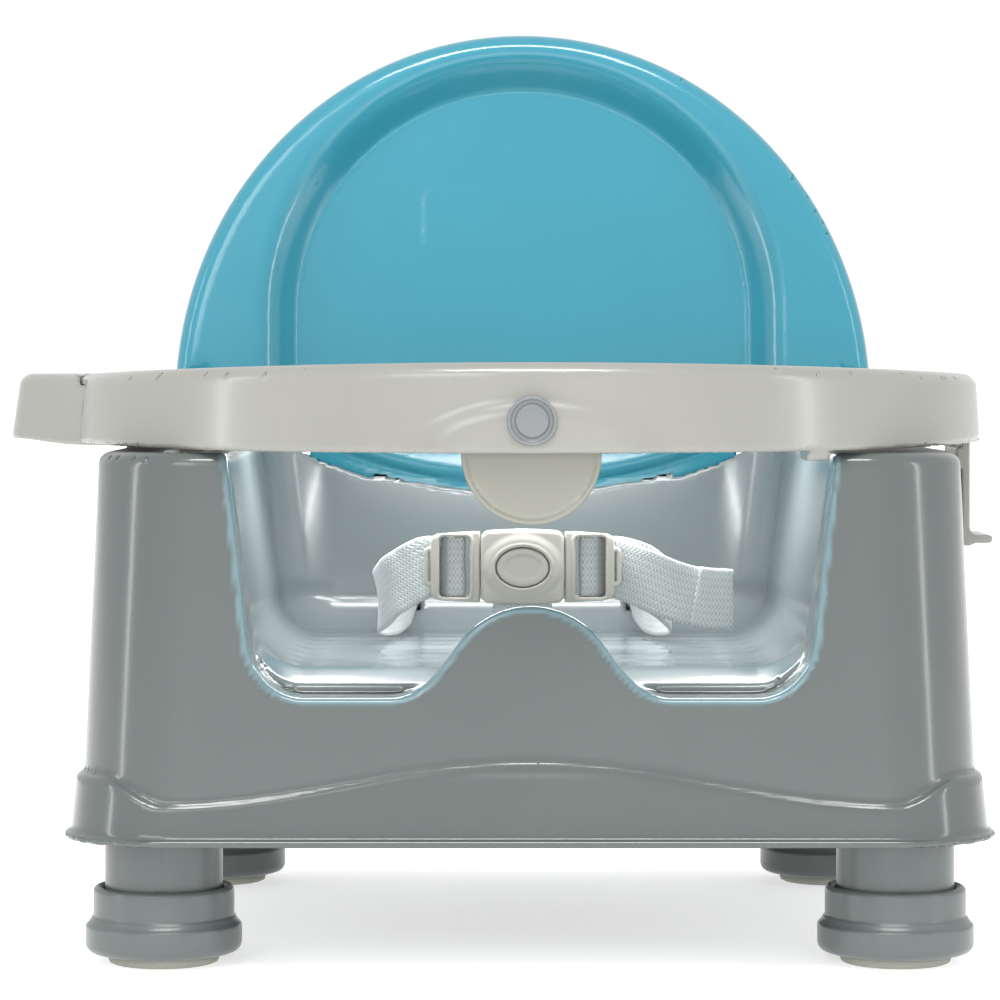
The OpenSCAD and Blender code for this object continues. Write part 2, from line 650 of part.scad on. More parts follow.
base_shell();
bottom_frame();
frame_screws();
hinge_pin_left();
hinge_pin_right();
tray_hinge_bracket();
bracket_screws();
tray_hinge_pin();
crotch_strap();
waist_strap_left();
waist_strap_right();
strap_bar_left();
strap_bar_right();
crotch_strap_bar();
buckle_front();
buckle_back();
button_spring();
buckle_button();
tongue_left();
tongue_right();
strap_tail_right();
backrest_shell();
tray_shell();
tray_hinge_arm();
tray_screws();
crotch_guard();
front_badge();
latch_lever();
latch_pin();
for (l = legs_at) {
    leg(l);
    foot(l);
    pad(l);
    leg_button(l);
}
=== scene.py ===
"""Booster seat with a folding backrest, a flip-up tray, a harness and four feet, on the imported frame."""

import math

import bmesh
import bpy
import numpy as np
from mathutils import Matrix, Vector


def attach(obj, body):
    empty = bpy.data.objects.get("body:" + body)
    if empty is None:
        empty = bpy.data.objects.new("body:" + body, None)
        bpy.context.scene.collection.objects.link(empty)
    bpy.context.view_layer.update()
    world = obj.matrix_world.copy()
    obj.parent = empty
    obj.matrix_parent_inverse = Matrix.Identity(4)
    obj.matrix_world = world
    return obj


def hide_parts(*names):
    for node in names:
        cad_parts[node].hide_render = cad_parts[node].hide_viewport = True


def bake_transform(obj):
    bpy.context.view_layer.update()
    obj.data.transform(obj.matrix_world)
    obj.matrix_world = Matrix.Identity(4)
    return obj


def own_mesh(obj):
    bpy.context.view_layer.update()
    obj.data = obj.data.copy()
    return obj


MM = 0.001  # lengths below are in millimetres until a mesh is made
WALL = 3.0  # thickness of the moulded walls

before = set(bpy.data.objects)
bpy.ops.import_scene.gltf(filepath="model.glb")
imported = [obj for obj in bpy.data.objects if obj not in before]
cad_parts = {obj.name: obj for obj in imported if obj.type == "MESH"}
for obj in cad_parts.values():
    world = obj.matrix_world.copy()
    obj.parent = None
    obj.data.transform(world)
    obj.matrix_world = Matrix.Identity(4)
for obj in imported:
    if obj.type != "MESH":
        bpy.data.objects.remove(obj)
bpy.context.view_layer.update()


# ---- distance fields ----
# A field takes arrays x, y, z in millimetres and returns the distance to a surface, negative inside.


def round_union(a, b, r):
    """Joins two fields with a fillet of radius r."""
    return np.maximum(r, np.minimum(a, b)) - np.hypot(np.maximum(r - a, 0), np.maximum(r - b, 0))


def round_both(a, b, r):
    """Keeps what is inside both fields, with the edge rounded to radius r."""
    return -round_union(-a, -b, r)


def round_cut(a, b, r):
    """Takes b out of a, with the edge rounded to radius r."""
    return round_both(a, -b, r)


def smooth_step(low, high, v):
    """0 below low, 1 above high, and smooth between."""
    t = np.clip((v - low) / (high - low), 0, 1)
    return t * t * (3 - 2 * t)


def rect_field(u, v, half_u, half_v, r):
    """A rectangle with corners of radius r, centred on the origin."""
    du = np.abs(u) - half_u + r
    dv = np.abs(v) - half_v + r
    return np.hypot(np.maximum(du, 0), np.maximum(dv, 0)) + np.minimum(np.maximum(du, dv), 0) - r


def ellipse_field(u, v, a, b):
    """First-order distance to an ellipse."""
    k = np.hypot(u / a, v / b)
    g = np.hypot(u / (a * a), v / (b * b))
    return k * (k - 1) / np.maximum(g, 1e-6)


def rod_field(p, q, r, u, v):
    """A stadium between two points in a plane."""
    du, dv = q[0] - p[0], q[1] - p[1]
    t = np.clip(((u - p[0]) * du + (v - p[1]) * dv) / (du * du + dv * dv), 0, 1)
    return np.hypot(u - p[0] - t * du, v - p[1] - t * dv) - r


def box_field(x, y, z, centre, half):
    """A box with sharp edges, from its middle and half its size along each axis."""
    sides = [np.abs(v - c) - h for v, c, h in zip((x, y, z), centre, half)]
    return np.maximum(np.maximum(sides[0], sides[1]), sides[2])


def turned(y, z, angle, centre):
    """y and z as seen in a frame turned by angle (degrees) about a line along X through centre."""
    c, s = math.cos(math.radians(angle)), math.sin(math.radians(angle))
    dy, dz = y - centre[0], z - centre[1]
    return centre[0] + c * dy + s * dz, centre[1] - s * dy + c * dz


# ---- meshes from fields ----

GRADIENT_STEP = 0.02  # how far to each side of a point the field's slope is measured
LEAST_SLOPE = 0.3  # least squared slope to divide by, so that flat places don't throw points far
STEP_LIMIT = 0.5  # this and the three limits below are in cells
MOVE_LIMIT = 0.7
MISS = 0.1
MISS_MOVE_LIMIT = 0.15


def surface_points(field, low, high, cell):
    """Vertices and quads of a field's surface: one vertex for each cell that the surface crosses."""
    axes = [np.arange(low[k] - cell, high[k] + 2 * cell, cell) for k in range(3)]
    nx, ny, nz = (len(a) for a in axes)
    value = np.empty((nx, ny, nz), dtype=np.float32)
    y, z = np.meshgrid(axes[1], axes[2], indexing="ij")
    for i, x in enumerate(axes[0]):
        value[i] = field(np.full_like(y, x), y, z)
    inside = value < 0
    total = np.zeros((nx - 1, ny - 1, nz - 1, 3), dtype=np.float32)
    count = np.zeros((nx - 1, ny - 1, nz - 1), dtype=np.float32)
    corners = [(i, j, k) for i in (0, 1) for j in (0, 1) for k in (0, 1)]

    def part(a, offset):
        return a[offset[0]:nx - 1 + offset[0], offset[1]:ny - 1 + offset[1], offset[2]:nz - 1 + offset[2]]

    for c in corners:
        for axis in range(3):
            if c[axis]:
                continue
            d = tuple(c[k] + (k == axis) for k in range(3))
            crossed = part(inside, c) != part(inside, d)
            va, vb = part(value, c), part(value, d)
            t = np.where(crossed, va / np.where(crossed, va - vb, 1), 0)
            for k in range(3):
                total[..., k] += np.where(crossed, t if k == axis else c[k], 0)
            count += crossed
    used = count > 0
    index = np.full(used.shape, -1, dtype=np.int64)
    index[used] = np.arange(int(used.sum()))
    cells = np.argwhere(used)
    start = np.array([a[0] for a in axes])
    points = start + (cells + total[used] / count[used][:, None]) * cell
    quads = []
    for axis in range(3):
        sides = [k for k in range(3) if k != axis]
        near = [slice(1, n - 1) for n in (nx, ny, nz)]
        near[axis] = slice(0, (nx, ny, nz)[axis] - 1)
        far = list(near)
        far[axis] = slice(1, (nx, ny, nz)[axis])
        a, b = inside[tuple(near)], inside[tuple(far)]
        at = np.argwhere(a != b)
        flip = b[tuple(at.T)]
        for k in sides:
            at[:, k] += 1
        ring = []
        for du, dv in ((0, 0), (1, 0), (1, 1), (0, 1)):
            p = at.copy()
            p[:, sides[0]] -= 1 - du
            p[:, sides[1]] -= 1 - dv
            ring.append(index[tuple(p.T)])
        quad = np.stack(ring, axis=1)
        turn = flip if axis != 1 else ~flip
        quad[turn] = quad[turn][:, ::-1]
        quads.append(quad)
    return points, np.concatenate(quads)


def pull_to_surface(field, points, cell, steps=4):
    """Moves points onto the field's surface along its gradient, and says which didn't get there."""
    h = GRADIENT_STEP
    p = points.copy()
    for _ in range(steps):
        x, y, z = p.T
        d = field(x, y, z)
        g = np.stack([(field(x + h, y, z) - field(x - h, y, z)), (field(x, y + h, z) - field(x, y - h, z)),
                      (field(x, y, z + h) - field(x, y, z - h))], axis=1) / (2 * h)
        step = g * (d / np.maximum((g * g).sum(axis=1), LEAST_SLOPE))[:, None]
        size = np.linalg.norm(step, axis=1, keepdims=True)
        p -= step * np.minimum(1, STEP_LIMIT * cell / np.maximum(size, 1e-9))
    moved = p - points
    size = np.linalg.norm(moved, axis=1, keepdims=True)
    missed = np.abs(field(*p.T)) > MISS * cell
    limit = np.where(missed, MISS_MOVE_LIMIT, MOVE_LIMIT)[:, None] * cell
    return points + moved * np.minimum(1, limit / np.maximum(size, 1e-9)), missed


def relax(points, quads, missed, steps=3):
    """Moves the points that missed the surface half-way to the middle of their neighbours, a few times."""
    ends = np.concatenate([quads[:, [k, (k + 1) % 4]] for k in range(4)])
    ends = np.concatenate([ends, ends[:, ::-1]])
    count = np.bincount(ends[:, 0], minlength=len(points))
    for _ in range(steps):
        far = points[ends[:, 1]]
        total = [np.bincount(ends[:, 0], weights=far[:, k], minlength=len(points)) for k in range(3)]
        middle = np.stack(total, axis=1) / np.maximum(count, 1)[:, None]
        points[missed] = (points[missed] + middle[missed]) / 2
    return points


def tube_faces(rings, sides):
    """Quads between neighbouring rings of points."""
    faces = []
    for ring in range(rings - 1):
        near, far = ring * sides, (ring + 1) * sides
        for k in range(sides):
            after = (k + 1) % sides
            faces.append([near + k, near + after, far + after, far + k])
    return faces


def mesh_object(name, points_mm, faces, material):
    """A smooth-shaded mesh object from points in millimetres, with one material."""
    mesh = bpy.data.meshes.new(name)
    faces = np.asarray(faces)
    mesh.vertices.add(len(points_mm))
    mesh.vertices.foreach_set("co", (np.asarray(points_mm) * MM).astype(np.float32).ravel())
    mesh.loops.add(faces.size)
    mesh.loops.foreach_set("vertex_index", faces.astype(np.int32).ravel())
    mesh.polygons.add(len(faces))
    mesh.polygons.foreach_set("loop_start", np.arange(0, faces.size, faces.shape[1], dtype=np.int32))
    mesh.update(calc_edges=True)
    mesh.validate()
    mesh.polygons.foreach_set("use_smooth", [True] * len(mesh.polygons))
    mesh.materials.append(material)
    obj = bpy.data.objects.new(name, mesh)
    bpy.context.scene.collection.objects.link(obj)
    return obj


def moulded(name, field, low, high, cell, material):
    """A moulded piece: the mesh of a field between two corners."""
    points, quads = surface_points(field, low, high, cell)
    points, missed = pull_to_surface(field, points, cell)
    return mesh_object(name, relax(points, quads, missed), quads, material)


def add_to(obj, body, replaced=()):
    """Puts a piece on its body, and hides the CAD nodes it stands for."""
    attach(obj, body)
    if replaced:
        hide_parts(*replaced)
    return obj


# ---- materials ----


def new_material(name):
    """A new material with its nodes, its links and its main shader."""
    mat = bpy.data.materials.new(name)
    mat.use_nodes = True
    nodes, links = mat.node_tree.nodes, mat.node_tree.links
    return mat, nodes, links, nodes["Principled BSDF"]


def add_node(nodes, kind, settings=None, values=None):
    """A shader node with its settings and its socket values."""
    node = nodes.new(kind)
    for key, value in (settings or {}).items():
        setattr(node, key, value)
    for key, value in (values or {}).items():
        node.inputs[key].default_value = value
    return node


def tone(colour, factor):
    """A colour made lighter or darker."""
    return tuple(min(1.0, c * factor) for c in colour) + (1.0,)


def plastic(name, colour, roughness, grain=0.02, coat=0.25, edge=1.12, painted_lights=()):
    """Moulded plastic: faint flow marks in its colour, a fine grain, edges painted paler as a highlight, and
    patchy gloss.

    Each painted light is the name of a mesh attribute and the lighter colour painted where it is 1."""
    mat, nodes, links, shader = new_material(name)
    place = add_node(nodes, "ShaderNodeTexCoord")
    flow = add_node(nodes, "ShaderNodeTexNoise", values={"Scale": 9.0, "Detail": 5.0, "Distortion": 0.6})
    links.new(place.outputs["Object"], flow.inputs["Vector"])
    shade = add_node(nodes, "ShaderNodeValToRGB")
    shade.color_ramp.elements[0].position = 0.3
    shade.color_ramp.elements[0].color = tone(colour, 0.965)
    shade.color_ramp.elements[1].position = 0.7
    shade.color_ramp.elements[1].color = tone(colour, 1.035)
    links.new(flow.outputs["Fac"], shade.inputs["Fac"])
    # Painted highlight: sharply convex places, found by pointiness, are painted paler by the factor edge,
    # standing in for light caught on the edges.
    form = add_node(nodes, "ShaderNodeNewGeometry")
    edge_highlight = add_node(nodes, "ShaderNodeMapRange", values={"From Min": 0.52, "From Max": 0.64})
    links.new(form.outputs["Pointiness"], edge_highlight.inputs["Value"])
    mix = add_node(nodes, "ShaderNodeMix", {"data_type": "RGBA"})
    mix.inputs["B"].default_value = tone(colour, edge)
    links.new(edge_highlight.outputs["Result"], mix.inputs["Factor"])
    links.new(shade.outputs["Color"], mix.inputs["A"])
    colour_out = mix.outputs["Result"]
    # Painted light: each mask's colour is mixed over the plastic where the mask is 1.
    for mask_name, painted_colour in painted_lights:
        mask = add_node(nodes, "ShaderNodeAttribute", {"attribute_name": mask_name})
        painted_light_mix = add_node(nodes, "ShaderNodeMix", {"data_type": "RGBA"})
        painted_light_mix.inputs["B"].default_value = tone(painted_colour, 1.0)
        links.new(mask.outputs["Fac"], painted_light_mix.inputs["Factor"])
        links.new(colour_out, painted_light_mix.inputs["A"])
        colour_out = painted_light_mix.outputs["Result"]
    links.new(colour_out, shader.inputs["Base Color"])
    patch = add_node(nodes, "ShaderNodeTexNoise", values={"Scale": 38.0, "Detail": 6.0, "Roughness": 0.6})
    links.new(place.outputs["Object"], patch.inputs["Vector"])
    gloss_range = {"To Min": roughness * 0.82, "To Max": roughness * 1.2}
    gloss = add_node(nodes, "ShaderNodeMapRange", values=gloss_range)
    links.new(patch.outputs["Fac"], gloss.inputs["Value"])
    links.new(gloss.outputs["Result"], shader.inputs["Roughness"])
    fine = add_node(nodes, "ShaderNodeTexNoise", values={"Scale": 1400.0, "Detail": 3.0})
    links.new(place.outputs["Object"], fine.inputs["Vector"])
    wave = add_node(nodes, "ShaderNodeTexNoise", values={"Scale": 14.0, "Detail": 1.0})
    links.new(place.outputs["Object"], wave.inputs["Vector"])
    bump = add_node(nodes, "ShaderNodeBump", values={"Strength": grain, "Distance": 0.0004})
    links.new(fine.outputs["Fac"], bump.inputs["Height"])
    sink = add_node(nodes, "ShaderNodeBump", values={"Strength": 0.06, "Distance": 0.002})
    links.new(wave.outputs["Fac"], sink.inputs["Height"])
    links.new(bump.outputs["Normal"], sink.inputs["Normal"])
    links.new(sink.outputs["Normal"], shader.inputs["Normal"])
    shader.inputs["Coat Weight"].default_value = coat
    shader.inputs["Coat Roughness"].default_value = roughness * 0.5
    shader.inputs["IOR"].default_value = 1.49
    return mat


def steel(name, colour, roughness):
    """Turned steel: fine rings of brightness and scattered dull spots."""
    mat, nodes, links, shader = new_material(name)
    place = add_node(nodes, "ShaderNodeTexCoord")
    rings = add_node(nodes, "ShaderNodeTexNoise", values={"Scale": 420.0, "Detail": 4.0, "Roughness": 0.7})
    links.new(place.outputs["Object"], rings.inputs["Vector"])
    shade = add_node(nodes, "ShaderNodeValToRGB")
    shade.color_ramp.elements[0].color = tone(colour, 0.8)
    shade.color_ramp.elements[1].color = tone(colour, 1.1)
    links.new(rings.outputs["Fac"], shade.inputs["Fac"])
    links.new(shade.outputs["Color"], shader.inputs["Base Color"])
    dull_range = {"To Min": roughness * 0.7, "To Max": roughness * 1.4}
    dull = add_node(nodes, "ShaderNodeMapRange", values=dull_range)
    links.new(rings.outputs["Fac"], dull.inputs["Value"])
    links.new(dull.outputs["Result"], shader.inputs["Roughness"])
    bump = add_node(nodes, "ShaderNodeBump", values={"Strength": 0.1, "Distance": 0.0002})
    links.new(rings.outputs["Fac"], bump.inputs["Height"])
    links.new(bump.outputs["Normal"], shader.inputs["Normal"])
    shader.inputs["Metallic"].default_value = 1.0
    return mat


def rubber(name, colour):
    """Moulded rubber: matt, with a pitted surface and dusty patches."""
    mat, nodes, links, shader = new_material(name)
    place = add_node(nodes, "ShaderNodeTexCoord")
    dust = add_node(nodes, "ShaderNodeTexNoise", values={"Scale": 60.0, "Detail": 6.0})
    pits = add_node(nodes, "ShaderNodeTexVoronoi", values={"Scale": 900.0})
    for texture in (dust, pits):
        links.new(place.outputs["Object"], texture.inputs["Vector"])
    shade = add_node(nodes, "ShaderNodeValToRGB")
    shade.color_ramp.elements[0].color = tone(colour, 0.85)
    shade.color_ramp.elements[1].color = tone(colour, 1.15)
    links.new(dust.outputs["Fac"], shade.inputs["Fac"])
    links.new(shade.outputs["Color"], shader.inputs["Base Color"])
    bump = add_node(nodes, "ShaderNodeBump", values={"Strength": 0.25, "Distance": 0.0003})
    links.new(pits.outputs["Distance"], bump.inputs["Height"])
    links.new(bump.outputs["Normal"], shader.inputs["Normal"])
    shader.inputs["Roughness"].default_value = 0.75
    return mat


def webbing(name, colour, valley_shade_colour):
    """Woven polyester: ribs and a herringbone of yarns, laid out by the strap's own map, with the weave's low
    places painted darker as painted shade.

    The map holds metres along the strap and across it."""
    mat, nodes, links, shader = new_material(name)
    place = add_node(nodes, "ShaderNodeUVMap", {"uv_map": "strap"})
    apart = add_node(nodes, "ShaderNodeSeparateXYZ")
    links.new(place.outputs["UV"], apart.inputs["Vector"])

    def sine(source, per_metre, add=None):
        """A sine wave of source, shifted by add."""
        scaled = add_node(nodes, "ShaderNodeMath", {"operation": "MULTIPLY"}, {1: 2 * math.pi * per_metre})
        links.new(source, scaled.inputs[0])
        value = scaled.outputs[0]
        if add is not None:
            total = add_node(nodes, "ShaderNodeMath", {"operation": "ADD"})
            links.new(value, total.inputs[0])
            links.new(add, total.inputs[1])
            value = total.outputs[0]
        wave = add_node(nodes, "ShaderNodeMath", {"operation": "SINE"})
        links.new(value, wave.inputs[0])
        return wave.outputs[0]

    across = sine(apart.outputs["Y"], 340.0)
    fold = add_node(nodes, "ShaderNodeMath", {"operation": "MULTIPLY"}, {1: 2.2})
    links.new(across, fold.inputs[0])
    along = sine(apart.outputs["X"], 620.0, fold.outputs[0])
    weave = add_node(nodes, "ShaderNodeMath", {"operation": "MULTIPLY_ADD"}, {1: 0.35})
    links.new(across, weave.inputs[0])
    links.new(along, weave.inputs[2])
    height = add_node(nodes, "ShaderNodeMapRange", values={"From Min": -1.35, "From Max": 1.35})
    links.new(weave.outputs[0], height.inputs["Value"])
    # Painted shade: the low places of the weave take the darker colour.
    shade = add_node(nodes, "ShaderNodeValToRGB")
    shade.color_ramp.elements[0].color = valley_shade_colour + (1.0,)
    shade.color_ramp.elements[1].color = colour + (1.0,)
    shade.color_ramp.elements[1].position = 0.7
    links.new(height.outputs["Result"], shade.inputs["Fac"])
    links.new(shade.outputs["Color"], shader.inputs["Base Color"])
    bump = add_node(nodes, "ShaderNodeBump", values={"Strength": 0.6, "Distance": 0.0004})
    links.new(height.outputs["Result"], bump.inputs["Height"])
    links.new(bump.outputs["Normal"], shader.inputs["Normal"])
    shader.inputs["Roughness"].default_value = 0.82
    shader.inputs["Sheen Weight"].default_value = 0.35
    return mat


# Painted light for the base: the bowl's inside is painted lighter and bluer than its own plastic, and a paler
# teal band along the front opening's edge is a painted highlight.
BASE_PAINTED_LIGHTS = [("inside", (0.155, 0.185, 0.19)), ("opening_highlight", (0.11, 0.175, 0.195))]
BASE = plastic("base_plastic", (0.066, 0.077, 0.075), 0.2, grain=0.03, painted_lights=BASE_PAINTED_LIGHTS)
BACK = plastic("backrest_plastic", (0.02, 0.185, 0.25), 0.18, grain=0.02, coat=0.4)
TRAY = plastic("tray_plastic", (0.205, 0.205, 0.187), 0.24, grain=0.02)
# Painted shade: the guard takes a slightly darker, warmer copy of the tray's plastic, for the shade under the
# tray.
GUARD = plastic("guard_plastic", (0.2, 0.2, 0.168), 0.3, grain=0.03)
HARNESS = plastic("harness_plastic", (0.385, 0.38, 0.34), 0.3, grain=0.03)
BADGE = plastic("badge_plastic", (0.13, 0.14, 0.145), 0.35, grain=0.05)
LEG = plastic("leg_plastic", (0.08, 0.092, 0.091), 0.3, grain=0.08, coat=0.05)
STEEL = steel("steel", (0.6, 0.6, 0.61), 0.3)
PAD = rubber("pad_rubber", (0.27, 0.275, 0.235))
STRAP = webbing("webbing", (0.45, 0.49, 0.49), (0.3, 0.33, 0.335))


# ---- base ----

BASE_TOP = 212.5
LIP_Z = 52.5  # lower edge of the skirt
FLOOR_Z = 122.0  # seat floor
FRONT_Z = 112.5  # front edge of the seat floor
HINGE = (142.0, 232.0)  # y and z of the backrest's hinge axis
PIN_BORE_R = 4.0
WALL_HALF_X, WALL_HALF_Y = 187.0, 165.5  # at the walls' foot
WALL_FOOT_Z = 64.0
WALL_RUN = 142.5  # height over which the walls lean in by DRAFT
DRAFT = 6.0
SKIRT_HIGH, SKIRT_SIDE, SKIRT_LOW = 86.4, 79.2, 69.2  # its upper line's middle, sides and corners
ARCH_HALF = 150.0
FLANGE_HALF_X, FLANGE_HALF_Y = 194.0, 172.5
BOWL_HALF = 116.0
BOWL_REAR = 114.0
SADDLE_R = 254.0
SADDLE_LIP, SADDLE_SHELF, SADDLE_SLOT = 187.5, 183.5, 170.0  # lowest points of its three arcs
EAR_X, EAR_R = 152.5, 12.0
STRAP_X = 52.0  # middle of each waist strap's slot
LEVER_Y = -27.0  # middle of the tray's hook lever


def skirt_height(x, y):
    """Height of the skirt's upper line: an arch on the front and the back, level on the sides."""
    along = np.minimum(np.abs(x) / ARCH_HALF, 1.0)
    arch = SKIRT_HIGH - (SKIRT_HIGH - SKIRT_LOW) * (1 - np.cos(math.pi * along)) / 2
    corner = SKIRT_LOW + (SKIRT_SIDE - SKIRT_LOW) * smooth_step(ARCH_HALF, ARCH_HALF + 26, np.abs(x))
    wave = np.where(np.abs(x) < ARCH_HALF, arch, corner)
    return wave + (SKIRT_SIDE - wave) * smooth_step(150, 120, np.abs(y))


def base_outside(x, y, z):
    """The walls, drafted towards the armrests, with the skirt round their foot."""
    taper = DRAFT * np.clip((z - WALL_FOOT_Z) / WALL_RUN, -0.1, 1.05)
    walls = rect_field(x, y, WALL_HALF_X - taper, WALL_HALF_Y - taper, 44.0)
    walls = round_both(walls, z - BASE_TOP, 5.5)
    spread = np.clip((80.0 - z) / 27.0, 0, 1)
    proud = 0.9 + 1.3 * smooth_step(146, 172, np.abs(x))
    skirt_x = WALL_HALF_X + proud + 2.6 * spread
    skirt_y = WALL_HALF_Y + proud + 2.7 * spread
    skirt = rect_field(x, y, skirt_x, skirt_y, 45.0)
    skirt = round_both(skirt, 0.94 * (z - skirt_height(x, y)), 2.6)
    flange = rect_field(x, y, FLANGE_HALF_X, FLANGE_HALF_Y, 46.0)
    flange = round_both(flange, z - LIP_Z - 2.6, 1.1)
    return round_union(round_union(walls, skirt, 1.6), flange, 1.5)


def seat_field(x, y, z):
    """The bowl between the armrests, with a faintly waved floor."""
    rise = np.clip((z - 146.0) / 66.5, 0, 1.1)
    low = np.clip((146.0 - z) / 24.0, 0, 1)
    half = BOWL_HALF + 9.0 * rise - 3.0 * low * low
    rear = BOWL_REAR + 10.0 * rise - 3.0 * low * low
    ridges = 0.35 * np.cos(2 * math.pi * y / 26.0)
    ridges *= smooth_step(104, 92, np.abs(x)) * smooth_step(-110, -95, y)
    floor = FLOOR_Z - (FLOOR_Z - FRONT_Z) * smooth_step(-112, -156, y) + ridges * smooth_step(96, 80, y)
    bowl = round_both(np.abs(x) - half, y - rear, 28.0)
    bowl = round_both(bowl, floor - z, 19.0)
    return np.maximum(bowl, -150.5 - y)


def opening_field(x, y, z):
    """The front opening, above the front edge and the pommel."""
    half = BOWL_HALF + 8.5 * np.clip((z - 136.0) / 76.5, -0.2, 1.2)
    front = round_union(z - FRONT_Z, np.hypot(x, z - 114.0) - 36.0, 22.0)
    return np.maximum(round_both(np.abs(x) - half, -front, 22.0), y + 138.0)


def saddle_arc(x, z, lowest):
    """Everything above a wide arc whose lowest point is at the height given."""
    return np.hypot(x, z - lowest - SADDLE_R) - SADDLE_R


def saddle_field(x, y, z):
    """The curved cut below the backrest: a lip along its front, a shelf and a deep slot behind it."""
    lip = saddle_arc(x, z, SADDLE_LIP)
    shelf = saddle_arc(x, z, SADDLE_SHELF)
    front = np.maximum(np.abs(x) - 73.0, y - 122.8)
    slot = np.maximum(saddle_arc(x, z, SADDLE_SLOT), 124.0 - y)
    cut = np.minimum(np.minimum(lip, round_cut(shelf, front, 0.9)), slot)
    return np.maximum(np.maximum(cut, np.abs(x) - 128.0), 100.0 - y)


def base_block(x, y, z):
    """The base as if it were solid."""
    block = round_cut(base_outside(x, y, z), seat_field(x, y, z), 3.5)
    block = round_cut(block, opening_field(x, y, z), 2.2)
    return round_cut(block, saddle_field(x, y, z), 1.2)


def base_field(x, y, z):
    """The hollow base with its ears, pin bores, strap slots and the lever's catch."""
    block = base_block(x, y, z)
    shell = np.maximum(block, -(block + WALL))
    shell = round_both(shell, LIP_Z - z, 0.6)
    for s in (-1, 1):
        ear = np.maximum(np.abs(y - HINGE[0]) - EAR_R, z - HINGE[1])
        ear = np.minimum(ear, np.hypot(y - HINGE[0], z - HINGE[1]) - EAR_R)
        ear = np.maximum(ear, BASE_TOP - 2.0 - z)
        ear = round_both(ear, np.abs(x - s * EAR_X) - 6.5, 1.4)
        shell = round_union(shell, ear, 2.5)
    bore = np.hypot(y - HINGE[0], z - HINGE[1]) - PIN_BORE_R
    shell = np.maximum(shell, -np.maximum(bore, 135.0 - np.abs(x)))
    crotch_slot = box_field(x, y, z, (-2.0, -30.5, 119.0), (15.0, 2.5, 9.0))
    shell = round_cut(shell, crotch_slot, 0.8)
    waist_slots = box_field(np.abs(x), y, z, (STRAP_X, 114.0, 145.0), (2.5, 10.0, 14.0))
    shell = round_cut(shell, waist_slots, 0.8)
    catch = np.maximum(np.abs(z - 172.5) - 3.0, np.abs(y - LEVER_Y) - 16.0)
    return np.maximum(shell, -np.maximum(catch, 176.0 - x))


base = moulded("base_moulding", base_field, (-194, -172.5, 52), (194, 172.5, 244), 1.8, BASE)
add_to(base, "base", ["base_shell"])

# Masks for the base's painted light: the bowl's inside, painted lighter, and a band round the front opening,
# painted paler as a highlight.
vertices = np.empty(3 * len(base.data.vertices), dtype=np.float32)
base.data.vertices.foreach_get("co", vertices)
bx, by, bz = vertices.reshape(-1, 3).T / MM
masks = {
    # Painted light: the bowl's inside, painted lighter and bluer than the base's own plastic.
    "inside": smooth_step(2.5, 1.0, seat_field(bx, by, bz)) * smooth_step(-152, -147, by),
    # Painted highlight: a paler teal band along the front opening's edge.
    "opening_highlight": smooth_step(2.2, 1.2, np.abs(opening_field(bx, by, bz) - 0.8)) * smooth_step(-150, -155, by),
}
for mask_name, mask in masks.items():
    base.data.attributes.new(mask_name, "FLOAT", "POINT").data.foreach_set("value", mask.astype(np.float32))


# ---- backrest ----

LEAN = -8.0  # degrees, at rest
FOLD_LIMIT = 50  # degrees forward
BACK_Y = 133.0  # rear of the shell, before it leans
DOME_Z = 230.0
ARCH_Z, ARCH_R = 274.0, 109.5  # the flat middle's arch
COVE_WIDTH, COVE_DEPTH = 19.0, 15.0
BOSS_X = 136.5


def back_outline(x, z):
    """Round above, and hollowed below to match the saddle."""
    dome = ellipse_field(x, z - DOME_Z, 168.5, 180.0)
    foot = saddle_arc(x, z, 186.5)
    sides = np.maximum(150.0 - np.abs(x), 238.0 - z)
    return round_both(dome, np.minimum(foot, sides), 2.5)


def panel_outline(x, z):
    """The flat middle: an arch on straight sides."""
    return np.hypot(x, np.maximum(z - ARCH_Z, 0)) - ARCH_R


def cove(x, ly, lz):
    """The backrest's front: flat in the middle and rising round it in a soft cove."""
    t = np.clip(panel_outline(x, lz) / COVE_WIDTH, 0, 1) * math.pi / 2
    rise = COVE_DEPTH * np.sin(t) ** 1.2
    return (130.0 - rise - ly) / np.hypot(1, 1.35 * np.cos(t) * (t > 0))


